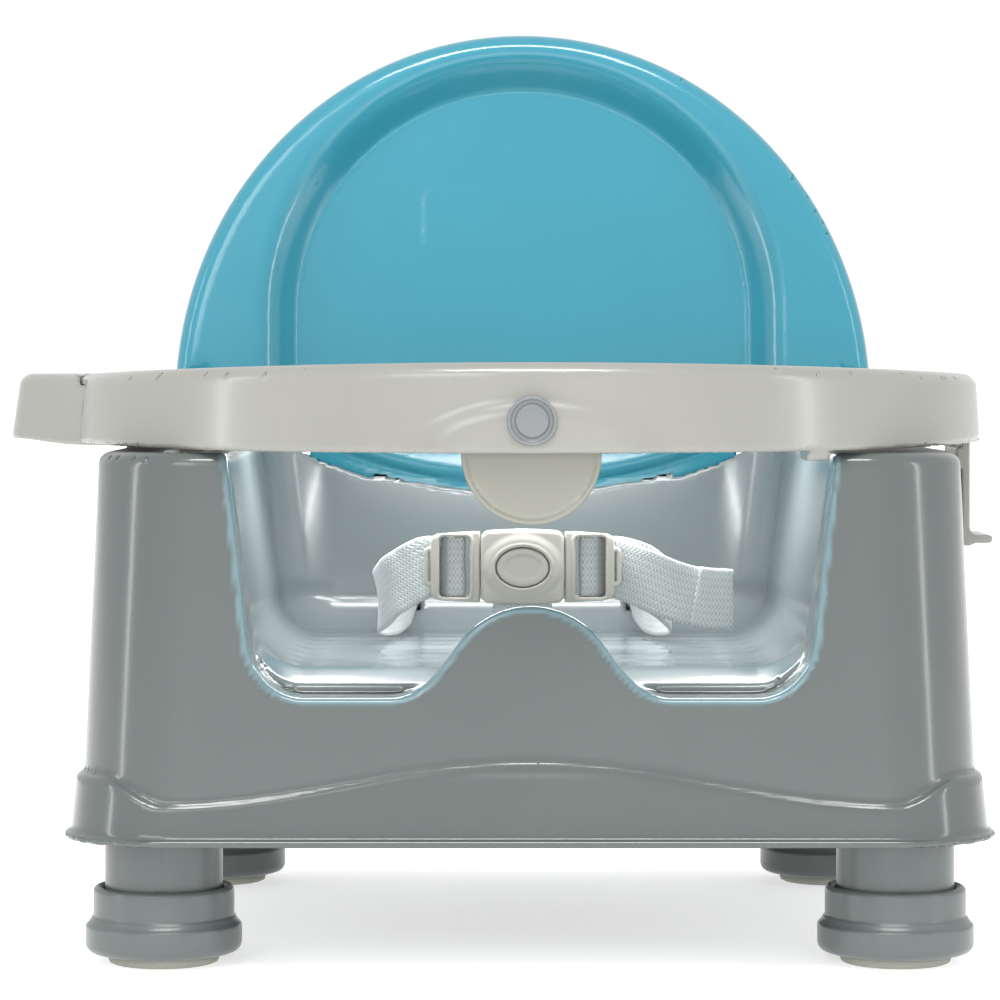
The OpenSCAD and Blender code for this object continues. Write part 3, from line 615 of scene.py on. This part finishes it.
def backrest_field(x, y, z):
    """The backrest leaning at rest, cut back where it would meet the armrests as it folds."""
    ly, lz = turned(y, z, LEAN, HINGE)
    front = round_both(back_outline(x, lz), cove(x, ly, lz), 9.0)
    hollow = np.maximum(front + WALL, np.where(np.abs(x) < 150, 243.0 - lz, -50.0))
    body = np.maximum(round_both(front, ly - BACK_Y, 1.0), -hollow)
    for fold in range(10, FOLD_LIMIT + 1, 8):
        fy, fz = turned(y, z, -fold, HINGE)
        clear = np.maximum(fz - BASE_TOP - 1.0, np.maximum(106.4 - np.abs(x), fy - HINGE[0] - 20.0))
        body = np.maximum(body, -clear)
    flange = np.maximum(saddle_arc(x, lz, 180.0), np.maximum(np.abs(x) - 104.0, lz - 225.0))
    body = np.minimum(body, np.maximum(flange, np.abs(ly - 134.0) - 1.5))
    pad = rect_field(x, lz - 319.0, 48.5, 16.0, 5.0)
    body = np.minimum(body, round_both(pad, np.abs(ly - 131.0) - 1.18, 0.15))
    for s in (-1, 1):
        aside = np.abs(x - s * BOSS_X)
        boss = round_both(np.hypot(y - HINGE[0], z - HINGE[1]) - 9.0, aside - 8.7, 1.0)
        heel = box_field(x, y, z, (s * BOSS_X, 147.3, 220.0), (8.0, 2.7, 7.2))
        web = box_field(x, ly, lz, (s * BOSS_X, 134.2, 232.0), (8.4, 3.2, 6.0))
        body = round_union(body, round_union(round_union(boss, heel, 1.0), web, 1.5), 1.5)
        notch = np.maximum(np.hypot(ly - HINGE[0], lz - HINGE[1]) - 17.0, np.abs(x - s * 153.7) - 8.3)
        body = round_cut(body, notch, 0.8)
    bore = np.maximum(np.hypot(y - HINGE[0], z - HINGE[1]) - PIN_BORE_R, 124.5 - np.abs(x))
    return np.maximum(body, -bore)


backrest = moulded("backrest_moulding", backrest_field, (-169, 100, 180), (169, 175, 413), 1.8, BACK)
add_to(backrest, "backrest", ["backrest_shell"])


# ---- tray ----

TRAY_TOP = 249.7
TRAY_LOW = 213.3
TRAY_FLOOR = 243.0
TRAY_HALF = 200.0
BOW_Y = -27.0  # where the bowed front meets the straight ends
TRAY_REAR = 25.0
BELLY_Y, BELLY_R = 132.25, 157.25
FLIP = (-196.0, 222.0)  # x and z of the tray's hinge axis
ARM_DISCS = [((-200.0, -14.0), 30.0), ((-172.0, -62.0), 20.0), ((-168.0, 8.0), 14.0)]
ARM_SIDES = 96
KNUCKLE_Y = -24.0
ARM_TOP = 245.0
ARM_INSIDE = 236.4
TRAY_UNDER = 239.8  # where the hinge arm and the crotch guard meet the tray's underside


def tray_plan(x, y):
    """Bowed front, straight ends and a hollow for the child's belly."""
    bow = ellipse_field(x, y - BOW_Y, TRAY_HALF, 178.0)
    ends = round_both(np.abs(x) - TRAY_HALF, y - TRAY_REAR, 28.0)
    outline = np.where(y < BOW_Y, bow, ends)
    return round_both(outline, BELLY_R - np.hypot(x, y - BELLY_Y), 9.0)


def drafted_plan(x, y, z):
    """The plan, narrower towards the rim, with a shallow swelling above the crotch guard."""
    lens = 1 - ((x - 2.0) / 54.0) ** 2 - ((z - 213.0) / 23.0) ** 2
    swell = smooth_step(0.0, 0.55, lens) * smooth_step(-120.0, -150.0, y)
    return tray_plan(x, y) + 2.2 * np.clip((z - TRAY_LOW) / 36.4, 0, 1) - 2.3 * swell


def arm_plan(x, y):
    """The hinge arm's outline: the hull of three discs."""
    field = None
    for k in range(ARM_SIDES):
        turn = 2 * math.pi * k / ARM_SIDES
        c, s = math.cos(turn), math.sin(turn)
        reach = max(c * p[0] + s * p[1] + r for p, r in ARM_DISCS)
        side = c * x + s * y - reach
        field = side if field is None else np.maximum(field, side)
    return field


def tray_field(x, y, z):
    """The tray: a shallow recess, an apron that rises towards the ends, a rib and two lugs for the lever."""
    along = (x / TRAY_HALF) ** 2
    body = round_both(drafted_plan(x, y, z), z - TRAY_TOP + 5.2 * along, 6.0)
    recess = round_both(tray_plan(x, y) + 14.5, TRAY_FLOOR - z, 5.0)
    body = round_cut(body, recess, 5.5)
    shell = np.maximum(body, -(body + WALL))
    shell = round_both(shell, TRAY_LOW + 2.2 * along * along - z, 1.2)
    rib = box_field(x, y, z, (116.7, -154.0, 225.0), (4.7, 18.0, 15.4))
    shell = np.minimum(shell, np.maximum(rib, drafted_plan(x, y, z) + 1.5))
    for middle in (-49.8, -4.2):
        lug = box_field(x, y, z, (192.3, middle, 231.0), (4.2, 1.5, 10.0))
        shell = np.minimum(shell, lug)
    return round_cut(shell, np.maximum(arm_plan(x, y) - 0.3, z - TRAY_UNDER), 0.6)


def arm_field(x, y, z):
    """The hinge arm: a hollow wing round the tray's left end, with a knuckle for the hinge pin."""
    outside = arm_plan(x, y) + 4.0 * np.clip((z - 216.0) / 28.0, 0, 1) * smooth_step(-185.0, -205.0, x)
    body = round_both(outside, z - ARM_TOP, 5.0)
    body = np.maximum(body, -np.maximum(drafted_plan(x, y, z) - 0.45, 239.9 - z))
    hollow = np.maximum(outside + WALL, z - ARM_INSIDE)
    gate = np.maximum(np.abs(x + 160.0) - 30.0, np.abs(y - KNUCKLE_Y) - 26.0)
    gate = np.maximum(gate, z - ARM_INSIDE)
    body = np.maximum(body, -np.minimum(hollow, gate))
    knuckle = box_field(x, y, z, (FLIP[0], KNUCKLE_Y, 227.0), (7.0, 11.7, 11.0))
    body = np.minimum(body, knuckle)
    bore = np.maximum(np.hypot(x - FLIP[0], z - FLIP[1]) - 3.0, np.abs(y - KNUCKLE_Y) - 14.0)
    body = np.maximum(body, -bore)
    return round_both(body, 214.0 + 2.2 * smooth_step(-196.0, -228.0, x) - z, 1.0)


tray = moulded("tray_moulding", tray_field, (-200, -208, 209), (200, 25, 250), 1.8, TRAY)
add_to(tray, "tray", ["tray_shell"])
arm = moulded("tray_arm_moulding", arm_field, (-230, -82, 213), (-150, 24, 246), 1.2, TRAY)
add_to(arm, "tray", ["tray_hinge_arm"])


def guard_field(x, y, z):
    """The crotch guard: a round-ended plate with a fine groove along its edge."""
    tongue = rod_field((0.0, 212.5), (0.0, 252.0), 28.3, x, z)
    plate = round_both(tongue, np.abs(y + 185.0) - 1.5, 1.2)
    border = np.maximum(np.abs(tongue + 2.6) - 0.5, np.abs(y + 186.6) - 0.45)
    return np.maximum(np.maximum(plate, -border), z - TRAY_UNDER)


guard = moulded("crotch_guard_moulding", guard_field, (-29, -187, 184), (29, -183, 240), 0.8, GUARD)
add_to(guard, "tray", ["crotch_guard"])


LEVER_PIVOT = (192.4, 226.0)  # x and z


def lever_field(x, y, z):
    """The hook lever: a blade that hangs from its pivot, with a foot that reaches both ways."""
    blade = rect_field(x - LEVER_PIVOT[0], z - 198.0, 2.0, 28.0, 1.4)
    eye = np.hypot(x - LEVER_PIVOT[0], z - LEVER_PIVOT[1]) - 3.5
    foot = rod_field((185.2, 172.4), (202.6, 172.4), 1.8, x, z)
    profile = round_union(round_union(blade, foot, 3.5), eye, 1.5)
    step = rect_field(x - 189.6, z - 208.0, 1.4, 5.0, 0.6)
    profile = np.minimum(profile, step)
    lever = round_both(profile, np.abs(y - LEVER_Y) - 21.0, 1.0)
    return np.maximum(lever, 1.56 - np.hypot(x - LEVER_PIVOT[0], z - LEVER_PIVOT[1]))


lever = moulded("latch_lever_moulding", lever_field, (183, -48, 170), (205, -6, 230), 0.7, TRAY)
add_to(lever, "latch", ["latch_lever"])


# ---- turned pieces ----


def lathe(name, profile, centre, material, axis="Z", steps=96):
    """A closed profile of (radius, height) turned about an axis through centre, in millimetres."""
    points, faces = [], []
    n = len(profile)
    for k in range(steps):
        turn = 2 * math.pi * k / steps
        c, s = math.cos(turn), math.sin(turn)
        for r, h in profile:
            turned_point = (r * c, r * s, h) if axis == "Z" else (r * c, -h, r * s)
            points.append([centre[i] + turned_point[i] for i in range(3)])
        for i in range(n):
            j, m = (i + 1) % n, (k + 1) % steps
            faces.append([k * n + i, m * n + i, m * n + j, k * n + j])
    obj = mesh_object(name, points, faces, material)
    mesh = bmesh.new()
    mesh.from_mesh(obj.data)
    bmesh.ops.remove_doubles(mesh, verts=mesh.verts, dist=1e-7)
    bmesh.ops.recalc_face_normals(mesh, faces=mesh.faces)
    mesh.to_mesh(obj.data)
    mesh.free()
    return obj


def arc(centre_r, centre_h, radius, start, end, steps=6):
    """Points of a profile along an arc, in degrees."""
    turns = [math.radians(start + (end - start) * k / steps) for k in range(steps + 1)]
    return [(centre_r + radius * math.cos(t), centre_h + radius * math.sin(t)) for t in turns]


FOOT_PROFILE = (
    [(0, 4.5), (12, 4.5), (24, 4.5)] + arc(28.5, 8.5, 4.0, 270, 360) + [(32.5, 12.0), (32.5, 14.0)]
    + arc(30.9, 15.2, 1.6, 0, 60) + [(30.2, 18.6)] + arc(30.8, 20.4, 1.5, 240, 180, 4) + [(29.3, 24.0)]
    + arc(27.2, 29.9, 2.1, 0, 100, 7) + arc(26.0, 30.6, 0.8, 90, 180, 4)
    + [(24.65, 29.6), (24.65, 20.0), (24.65, 8.0), (0, 8.0)]
)
PAD_PROFILE = [
    (0, 0.0), (8, 0.0), (8.6, 0.5), (10.4, 0.5), (11, 0.0), (15, 0.0), (15.6, 0.5), (17.4, 0.5), (18, 0.0),
    (21.5, 0.0), (22.6, 0.5), (23.0, 1.5), (23.0, 4.5), (0, 4.5),
]
BADGE_PROFILE = (
    [(0, 0.0), (9.9, 0.0), (9.9, 1.7)] + arc(9.2, 1.8, 0.7, 0, 180, 8) + [(8.4, 1.1), (6.6, 1.1)]
    + arc(6.2, 1.3, 0.4, 0, 90, 3) + [(3.0, 1.95), (0, 2.05)]
)


LEG_R, LEG_INSIDE_R = 24.5, 22.1
LEG_FROM, LEG_TO = 8.0, 96.0
LEG_ROOM = 26  # half the width of the space that a leg is meshed in
BUTTON_Z, BUTTON_HOLE_R = 86.0, 4.05


def leg_field(cx, cy):
    """A leg tube with its two guide ribs and the hole for its height button."""

    def field(x, y, z):
        tube = np.hypot(x - cx, y - cy)
        ring = round_both(tube - LEG_R, LEG_INSIDE_R - tube, 0.6)
        ring = round_both(ring, np.maximum(LEG_FROM - z, z - LEG_TO), 0.6)
        rib = np.maximum(np.abs(x - cx) - 1.0, np.abs(np.abs(y - cy) - 24.1) - 0.9)
        rib = np.maximum(rib, np.abs(z - 60.0) - 28.0)
        bore = np.hypot(y - cy, z - BUTTON_Z) - BUTTON_HOLE_R
        hole = np.maximum(bore, (x - cx) * math.copysign(1.0, cx))
        return np.maximum(round_union(ring, rib, 0.7), -hole)

    return field


LEGS = [
    ("front_left", -152.5, -129.0),
    ("front_right", 152.5, -129.0),
    ("rear_left", -147.5, 121.0),
    ("rear_right", 147.5, 121.0),
]
for leg_name, leg_x, leg_y in LEGS:
    body = "leg_assembly_" + leg_name
    low = (leg_x - LEG_ROOM, leg_y - LEG_ROOM, LEG_FROM - 1)
    high = (leg_x + LEG_ROOM, leg_y + LEG_ROOM, LEG_TO + 1)
    tube = moulded("leg_tube_" + leg_name, leg_field(leg_x, leg_y), low, high, 1.5, LEG)
    add_to(tube, body, ["leg_" + leg_name])
    foot = lathe("foot_moulding_" + leg_name, FOOT_PROFILE, (leg_x, leg_y, 0), LEG)
    add_to(foot, body, ["foot_" + leg_name])
    pad = lathe("pad_moulding_" + leg_name, PAD_PROFILE, (leg_x, leg_y, 0), PAD)
    add_to(pad, body, ["pad_" + leg_name])

badge = lathe("front_badge_disc", BADGE_PROFILE, (0, -206.3, 226.3), BADGE, axis="Y")
add_to(badge, "tray", ["front_badge"])


# ---- harness ----

BUCKLE = (-2.0, -42.0, 160.0)
BUCKLE_EDGE = 18.5  # from the buckle's middle to its side
BAR_FROM, BAR_TO = 8.5, 12.4  # the ladder bar of a tongue, outwards from the buckle's edge


def housing_plan(u, v):
    """The buckle's outline: bowed sides and an arched top."""
    half_u = 18.0 + 0.5 * (1 - (v / 16.5) ** 2)
    half_v = 15.5 + 1.0 * (1 - (u / 18.5) ** 2)
    return rect_field(u, v, half_u, half_v, 3.0)


def buckle_hollow(u, v, w):
    """The room inside the buckle and the mouths that the tongues' prongs go in by."""
    chamber = np.maximum(np.maximum(np.abs(u) - 16.0, np.abs(v) - 11.5), np.abs(w) - 4.2)
    mouth = np.maximum(np.maximum(np.abs(u) - 30.0, np.abs(v) - 10.5), np.abs(w) - 2.0)
    return np.minimum(chamber, mouth)


def buckle_front_field(x, y, z):
    """The front shell, with an oval mound and a bead round the button's hole."""
    u, v, w = x - BUCKLE[0], z - BUCKLE[2], BUCKLE[1] - y
    face = 6.6 - 0.9 * (u / 18.5) ** 2 - 0.5 * (v / 16.5) ** 2
    shell = round_both(housing_plan(u, v), w - face, 1.8)
    around = ellipse_field(u, v, 12.9, 9.9)
    mound = round_both(around - 3.6, w - 7.2, 2.6)
    shell = round_union(shell, mound, 2.2)
    shell = round_union(shell, np.hypot(around, w - 7.1) - 0.85, 0.5)
    shell = round_cut(shell, ellipse_field(u, v, 11.9, 8.9), 0.4)
    shell = round_both(shell, 0.05 - w, 0.25)
    return np.maximum(shell, -buckle_hollow(u, v, w))


def buckle_back_field(x, y, z):
    """The back shell."""
    u, v, w = x - BUCKLE[0], z - BUCKLE[2], BUCKLE[1] - y
    shell = round_both(housing_plan(u, v), -6.5 - w, 1.8)
    shell = round_both(shell, w + 0.05, 0.25)
    return np.maximum(shell, -buckle_hollow(u, v, w))


def button_field(x, y, z):
    """The oval push button, faintly dished, with a stem for its spring."""
    u, v, w = x - BUCKLE[0], z - BUCKLE[2], BUCKLE[1] - y
    oval = ellipse_field(u, v, 11.5, 8.5)
    face = 7.7 - 0.35 * smooth_step(-2.2, -4.2, oval)
    cap = round_both(round_both(oval, w - face, 0.9), 4.6 - w, 0.3)
    stem = round_both(np.hypot(u, v) - 4.0, np.abs(w - 4.0) - 1.8, 0.2)
    return np.minimum(cap, stem)


def tongue_field(s):
    """One tongue: a prong, a frame with one window, a ladder bar across it and a loop on its outer end."""

    def field(x, y, z):
        u, v, w = s * (x - BUCKLE[0]) - BUCKLE_EDGE, z - BUCKLE[2], BUCKLE[1] - y
        face = 4.4 - 0.6 * (v / 15.5) ** 2
        half_v = 15.5 - 1.1 * smooth_step(2.0, 22.0, u)
        plan = rect_field(u - 11.0, v, 10.9, half_v, 3.6)
        plan = np.minimum(plan, rect_field(u - 5.0, v, 4.9, half_v, 0.8))
        frame_solid = round_both(plan, np.maximum(w - face, -4.0 - w), 1.3)
        window = rect_field(u - 11.4, v, 6.6, 13.2, 1.8)
        frame_solid = round_union(frame_solid, np.hypot(window - 1.0, w - face + 0.1) - 0.75, 0.6)
        body = round_cut(frame_solid, window, 0.5)
        bar = np.abs(u - (BAR_FROM + BAR_TO) / 2) - (BAR_TO - BAR_FROM) / 2
        bar = round_both(bar, np.abs(w + 1.2) - 1.3, 0.9)
        body = np.minimum(body, np.maximum(bar, np.abs(v) - 14.0))
        loop = rect_field(u - 20.6, v, 4.2, 8.6, 2.4)
        loop = np.hypot(loop + 1.0, w - 1.8) - 1.25
        body = round_union(body, np.maximum(loop, 20.5 - u), 0.6)
        prong = round_both(rect_field(u + 6.2, v, 6.8, 9.0, 2.0), np.abs(w) - 1.5, 0.4)
        return np.minimum(body, prong)

    return field


buckle_low, buckle_high = (-21, -50.2, 143), (17, -35, 177)
buckle_face = moulded("buckle_front_moulding", buckle_front_field, buckle_low, buckle_high, 0.45, HARNESS)
add_to(buckle_face, "base", ["buckle_front"])
buckle_rear = moulded("buckle_back_moulding", buckle_back_field, buckle_low, buckle_high, 0.6, HARNESS)
add_to(buckle_rear, "base", ["buckle_back"])
button = moulded("buckle_button_moulding", button_field, (-14, -50, 151), (10, -44, 169), 0.45, HARNESS)
add_to(button, "button", ["buckle_button"])
for side, sign in (("left", -1), ("right", 1)):
    edge = BUCKLE[0] + sign * BUCKLE_EDGE
    ends = sorted((edge - sign * 13.2, edge + sign * 25.5))
    low, high = (ends[0], -48, 143.5), (ends[1], -37, 176.5)
    tongue = moulded("tongue_moulding_" + side, tongue_field(sign), low, high, 0.45, HARNESS)
    add_to(tongue, "tongue_%s_body" % side, ["tongue_" + side])


def smooth_path(stations, step=1.2):
    """Points about step millimetres apart on a Catmull-Rom curve through stations."""
    p = [np.array(s, dtype=float) for s in stations]
    p = [2 * p[0] - p[1]] + p + [2 * p[-1] - p[-2]]
    path = []
    for i in range(1, len(p) - 2):
        a, b, c, d = p[i - 1:i + 3]
        square = 2 * a - 5 * b + 4 * c - d
        cube = 3 * b - a - 3 * c + d
        count = max(2, int(np.linalg.norm(c - b) / step))
        for t in np.arange(count) / count:
            path.append(0.5 * (2 * b + (c - a) * t + square * t * t + cube * t ** 3))
    path.append(p[-2])
    return np.array(path)


def ribbon(name, stations, width=26.0, thick=1.5, up=(0.0, 0.0, 1.0), wrinkle=0.0):
    """A flat strap with round edges along a path. A station is x, y, z and, if wanted, a twist in degrees."""
    full = [tuple(s) + (0.0,) * (4 - len(s)) for s in stations]
    path = smooth_path(full)
    centre, twist = path[:, :3], np.radians(path[:, 3])
    along = np.gradient(centre, axis=0)
    along /= np.linalg.norm(along, axis=1, keepdims=True)
    wide = np.array(up) - along * (along @ np.array(up))[:, None]
    wide /= np.linalg.norm(wide, axis=1, keepdims=True)
    normal = np.cross(along, wide)
    c, s = np.cos(twist)[:, None], np.sin(twist)[:, None]
    wide, normal = wide * c + normal * s, normal * c - wide * s
    run = np.concatenate([[0], np.cumsum(np.linalg.norm(np.diff(centre, axis=0), axis=1))])
    flat = np.linspace(-width / 2 + 0.7, width / 2 - 0.7, 13)
    section = [(v, thick / 2) for v in flat] + [(width / 2, 0.25), (width / 2, -0.25)]
    section += [(v, -thick / 2) for v in flat[::-1]] + [(-width / 2, -0.25), (-width / 2, 0.25)]
    n, m = len(centre), len(section)
    points = []
    for v, h in section:
        ripple = wrinkle * np.sin(run / 7.0 + v / 9.0) * np.sin(v / 6.0 + run / 19.0)
        points.append(centre + wide * v + normal * (h + ripple)[:, None])
    points = np.stack(points, axis=1).reshape(-1, 3)
    faces = tube_faces(n, m)
    for row in (0, (n - 1) * m):
        for k in range(m // 2 - 1):
            cap = [row + k, row + k + 1, row + m - 3 - k, row + m - 2 - k]
            faces.append(cap if row == 0 else cap[::-1])
    obj = mesh_object(name, points, faces, STRAP)
    work = bmesh.new()
    work.from_mesh(obj.data)
    bmesh.ops.recalc_face_normals(work, faces=work.faces)
    work.to_mesh(obj.data)
    work.free()
    layer = obj.data.uv_layers.new(name="strap")
    vertex = np.empty(len(obj.data.loops), dtype=np.int32)
    obj.data.loops.foreach_get("vertex_index", vertex)
    across = np.array([v for v, _ in section])
    uv = np.stack([run[vertex // m], across[vertex % m]], axis=1) * MM
    layer.data.foreach_set("uv", uv.astype(np.float32).ravel())
    return obj


def ladder_route(s):
    """From behind a tongue's outer end, over its ladder bar and back behind it.

    The steps are outwards from the buckle's edge, and backwards from its middle."""
    edge = BUCKLE[0] + s * BUCKLE_EDGE
    steps = [
        (24.0, 5.6), (18.5, 5.3), (15.6, 2.2), (14.0, -0.6), (12.2, -1.3), (9.0, -1.3), (7.4, 0.2),
        (7.4, 3.6), (9.5, 6.0), (14.0, 7.2), (17.0, 7.6),
    ]
    return [(edge + s * out, BUCKLE[1] + back, BUCKLE[2]) for out, back in steps]


def anchor_loop(s):
    """Round the bar behind the seat's rear wall and back onto itself."""
    turns = [
        (0.0, 112.0), (-1.0, 118.0), (-3.4, 121.5), (-1.6, 125.4),
        (1.6, 125.4), (3.4, 121.5), (1.4, 117.0), (1.7, 113.0),
    ]
    return [(s * (STRAP_X + aside), y, 145.0) for aside, y in turns]


# From the tongues to the rear wall: x, y, z and a twist in degrees.
ROUTES = {
    "left": [
        (-52, -35.5, 156), (-60, -31, 150.5, -8), (-64.5, -20, 145, -14), (-66, -4, 141),
        (-63, 20, 138), (-58, 50, 137), (-54, 80, 139), (-52.5, 98, 143),
    ],
    "right": [
        (50, -35.0, 157), (58, -29, 151, 6), (63.5, -17, 146, 10), (65, -2, 141),
        (62, 22, 138), (57, 50, 137), (54, 80, 139), (52.5, 98, 143),
    ],
}
for side, sign in (("left", -1), ("right", 1)):
    stations = ladder_route(sign)[::-1] + ROUTES[side] + anchor_loop(sign)
    strap = ribbon("waist_webbing_" + side, stations, wrinkle=0.25)
    fixed_end, moving_end = (sign * 0.060, 0.060, 0.138), (sign * 0.046, -0.037, 0.157)
    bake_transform(strap)
    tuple(fixed_end)
    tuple(moving_end)
    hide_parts("waist_strap_" + side)

TAIL_ROUTE = [
    (33, -36.6, 159.6), (41, -38.6, 158.5), (52, -42.4, 154.5),
    (64, -43.4, 149.6), (76, -42.0, 146.6), (88, -40.0, 145.6),
]
HEM_ROUTE = [
    (74, -44.0, 147.2), (80, -43.2, 146.2), (88.5, -41.8, 145.6),
    (90.2, -40.2, 145.5), (88.5, -38.3, 145.6), (76, -40.2, 146.4),
]
CROTCH_ROUTE = [
    (-2, -30.5, 114.0), (-2, -30.5, 121.0), (-2, -31.2, 127.5), (-2, -34.6, 134.0),
    (-2, -39.5, 137.8), (-2, -42.0, 141.0), (-2, -42.0, 146.5),
]
tail = ribbon("tail_webbing_right", TAIL_ROUTE, wrinkle=0.3)
add_to(tail, "tongue_right_body", ["strap_tail_right"])
hem = ribbon("tail_hem_right", HEM_ROUTE, width=26.4, wrinkle=0.1)
add_to(hem, "tongue_right_body", ())
crotch = ribbon("crotch_webbing", CROTCH_ROUTE, up=(1.0, 0.0, 0.0), wrinkle=0.1)
add_to(crotch, "base", ["crotch_strap"])


def coil(name, centre, radius, wire, low, high, turns):
    """A compression spring along Y: a round wire wound round centre (x and z), from y = low to y = high."""
    steps, sides = 24 * turns, 10
    points = []
    for k in range(steps + 1):
        turn = 2 * math.pi * turns * k / steps
        outward = Vector((math.cos(turn), 0, math.sin(turn)))
        middle = Vector((centre[0], low + (high - low) * k / steps, centre[1])) + outward * radius
        for i in range(sides):
            a = 2 * math.pi * i / sides
            points.append(middle + outward * (wire * math.cos(a)) + Vector((0, wire * math.sin(a), 0)))
    return mesh_object(name, np.array([tuple(p) for p in points]), tube_faces(steps + 1, sides), STEEL)


spring = coil("button_spring_coil", (BUCKLE[0], BUCKLE[2]), 2.6, 0.4, -43.8, -38.2, 4)
add_to(spring, "base", ["button_spring"])
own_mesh(spring)


# ---- small hardware ----

HARDWARE = [
    (LEG, ["bottom_frame"] + ["leg_button_" + leg[0] for leg in LEGS]),
    (TRAY, ["tray_hinge_bracket"]),
    (STEEL, ["frame_screws", "bracket_screws", "tray_screws", "hinge_pin_left", "hinge_pin_right"]),
    (STEEL, ["tray_hinge_pin", "latch_pin", "strap_bar_left", "strap_bar_right", "crotch_strap_bar"]),
]
for finish, node_names in HARDWARE:
    for node_name in node_names:
        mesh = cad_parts[node_name].data
        mesh.materials.clear()
        mesh.materials.append(finish)


# ---- camera, floor and light ----
# Lengths here are in metres and powers in watts.

camera_data = bpy.data.cameras.new("camera")
camera_data.lens = 134.3
camera_data.sensor_width = 36.0
camera_data.shift_x = 0.020
camera_data.shift_y = -0.128
camera_data.clip_end = 50.0
camera = bpy.data.objects.new("camera", camera_data)
camera.location = (-0.0207, -1.685, 0.2457)
camera.rotation_euler = (math.radians(90), 0, 0)
bpy.context.scene.collection.objects.link(camera)
bpy.context.scene.camera = camera


def area_light(name, place, target, size, power, mirrored=True):
    """A soft box aimed at a point, never seen by the camera, which glossy surfaces mirror or not."""
    data = bpy.data.lights.new(name, "AREA")
    data.shape = "RECTANGLE"
    data.size, data.size_y = size
    data.energy = power
    obj = bpy.data.objects.new(name, data)
    obj.location = place
    obj.rotation_euler = (Vector(target) - Vector(place)).to_track_quat("-Z", "Y").to_euler()
    bpy.context.scene.collection.objects.link(obj)
    obj.visible_glossy = mirrored
    obj.visible_camera = False


area_light("key", (-0.9, -2.4, 1.5), (0, 0, 0.2), size=(1.0, 0.8), power=10.0)
area_light("front", (0.0, -2.2, 0.3), (0, 0.0, 0.14), size=(1.6, 0.45), power=20.0, mirrored=False)
area_light("under_tray", (0.0, -0.03, 0.238), (0, -0.03, 0), size=(0.22, 0.06), power=1.1)
area_light("side_left", (-1.5, -0.5, 0.5), (-0.1, 0, 0.2), size=(0.1, 1.1), power=3.0)
area_light("side_right", (1.4, -0.7, 0.5), (0.1, 0, 0.2), size=(0.1, 1.1), power=3.0)
area_light("top_strip", (0.0, -0.9, 1.5), (0, 0.1, 0.4), size=(0.8, 0.3), power=16.0)


def floor_material():
    """Pale studio floor with the faintest mottling."""
    mat, nodes, links, shader = new_material("studio_floor")
    place = add_node(nodes, "ShaderNodeTexCoord")
    cloud = add_node(nodes, "ShaderNodeTexNoise", values={"Scale": 3.0, "Detail": 4.0})
    links.new(place.outputs["Object"], cloud.inputs["Vector"])
    shade = add_node(nodes, "ShaderNodeValToRGB")
    shade.color_ramp.elements[0].color = (0.9, 0.9, 0.9, 1)
    shade.color_ramp.elements[1].color = (0.93, 0.93, 0.93, 1)
    links.new(cloud.outputs["Fac"], shade.inputs["Fac"])
    links.new(shade.outputs["Color"], shader.inputs["Base Color"])
    shader.inputs["Roughness"].default_value = 0.9
    shader.inputs["Emission Color"].default_value = (1, 1, 1, 1)
    shader.inputs["Emission Strength"].default_value = 0.55
    return mat


FLOOR_HALF = 12.0
floor_mesh = bpy.data.meshes.new("studio_floor")
floor_corners = [(-FLOOR_HALF, -FLOOR_HALF, 0), (FLOOR_HALF, -FLOOR_HALF, 0),
                 (FLOOR_HALF, FLOOR_HALF, 0), (-FLOOR_HALF, FLOOR_HALF, 0)]
floor_mesh.from_pydata(floor_corners, [], [(0, 1, 2, 3)])
floor_mesh.materials.append(floor_material())
floor = bpy.data.objects.new("studio_floor", floor_mesh)
bpy.context.scene.collection.objects.link(floor)

world = bpy.data.worlds.new("studio")
world.use_nodes = True
world.node_tree.nodes["Background"].inputs["Color"].default_value = (1, 1, 1, 1)
world.node_tree.nodes["Background"].inputs["Strength"].default_value = 1.05
bpy.context.scene.world = world
bpy.context.scene.view_settings.view_transform = "Standard"
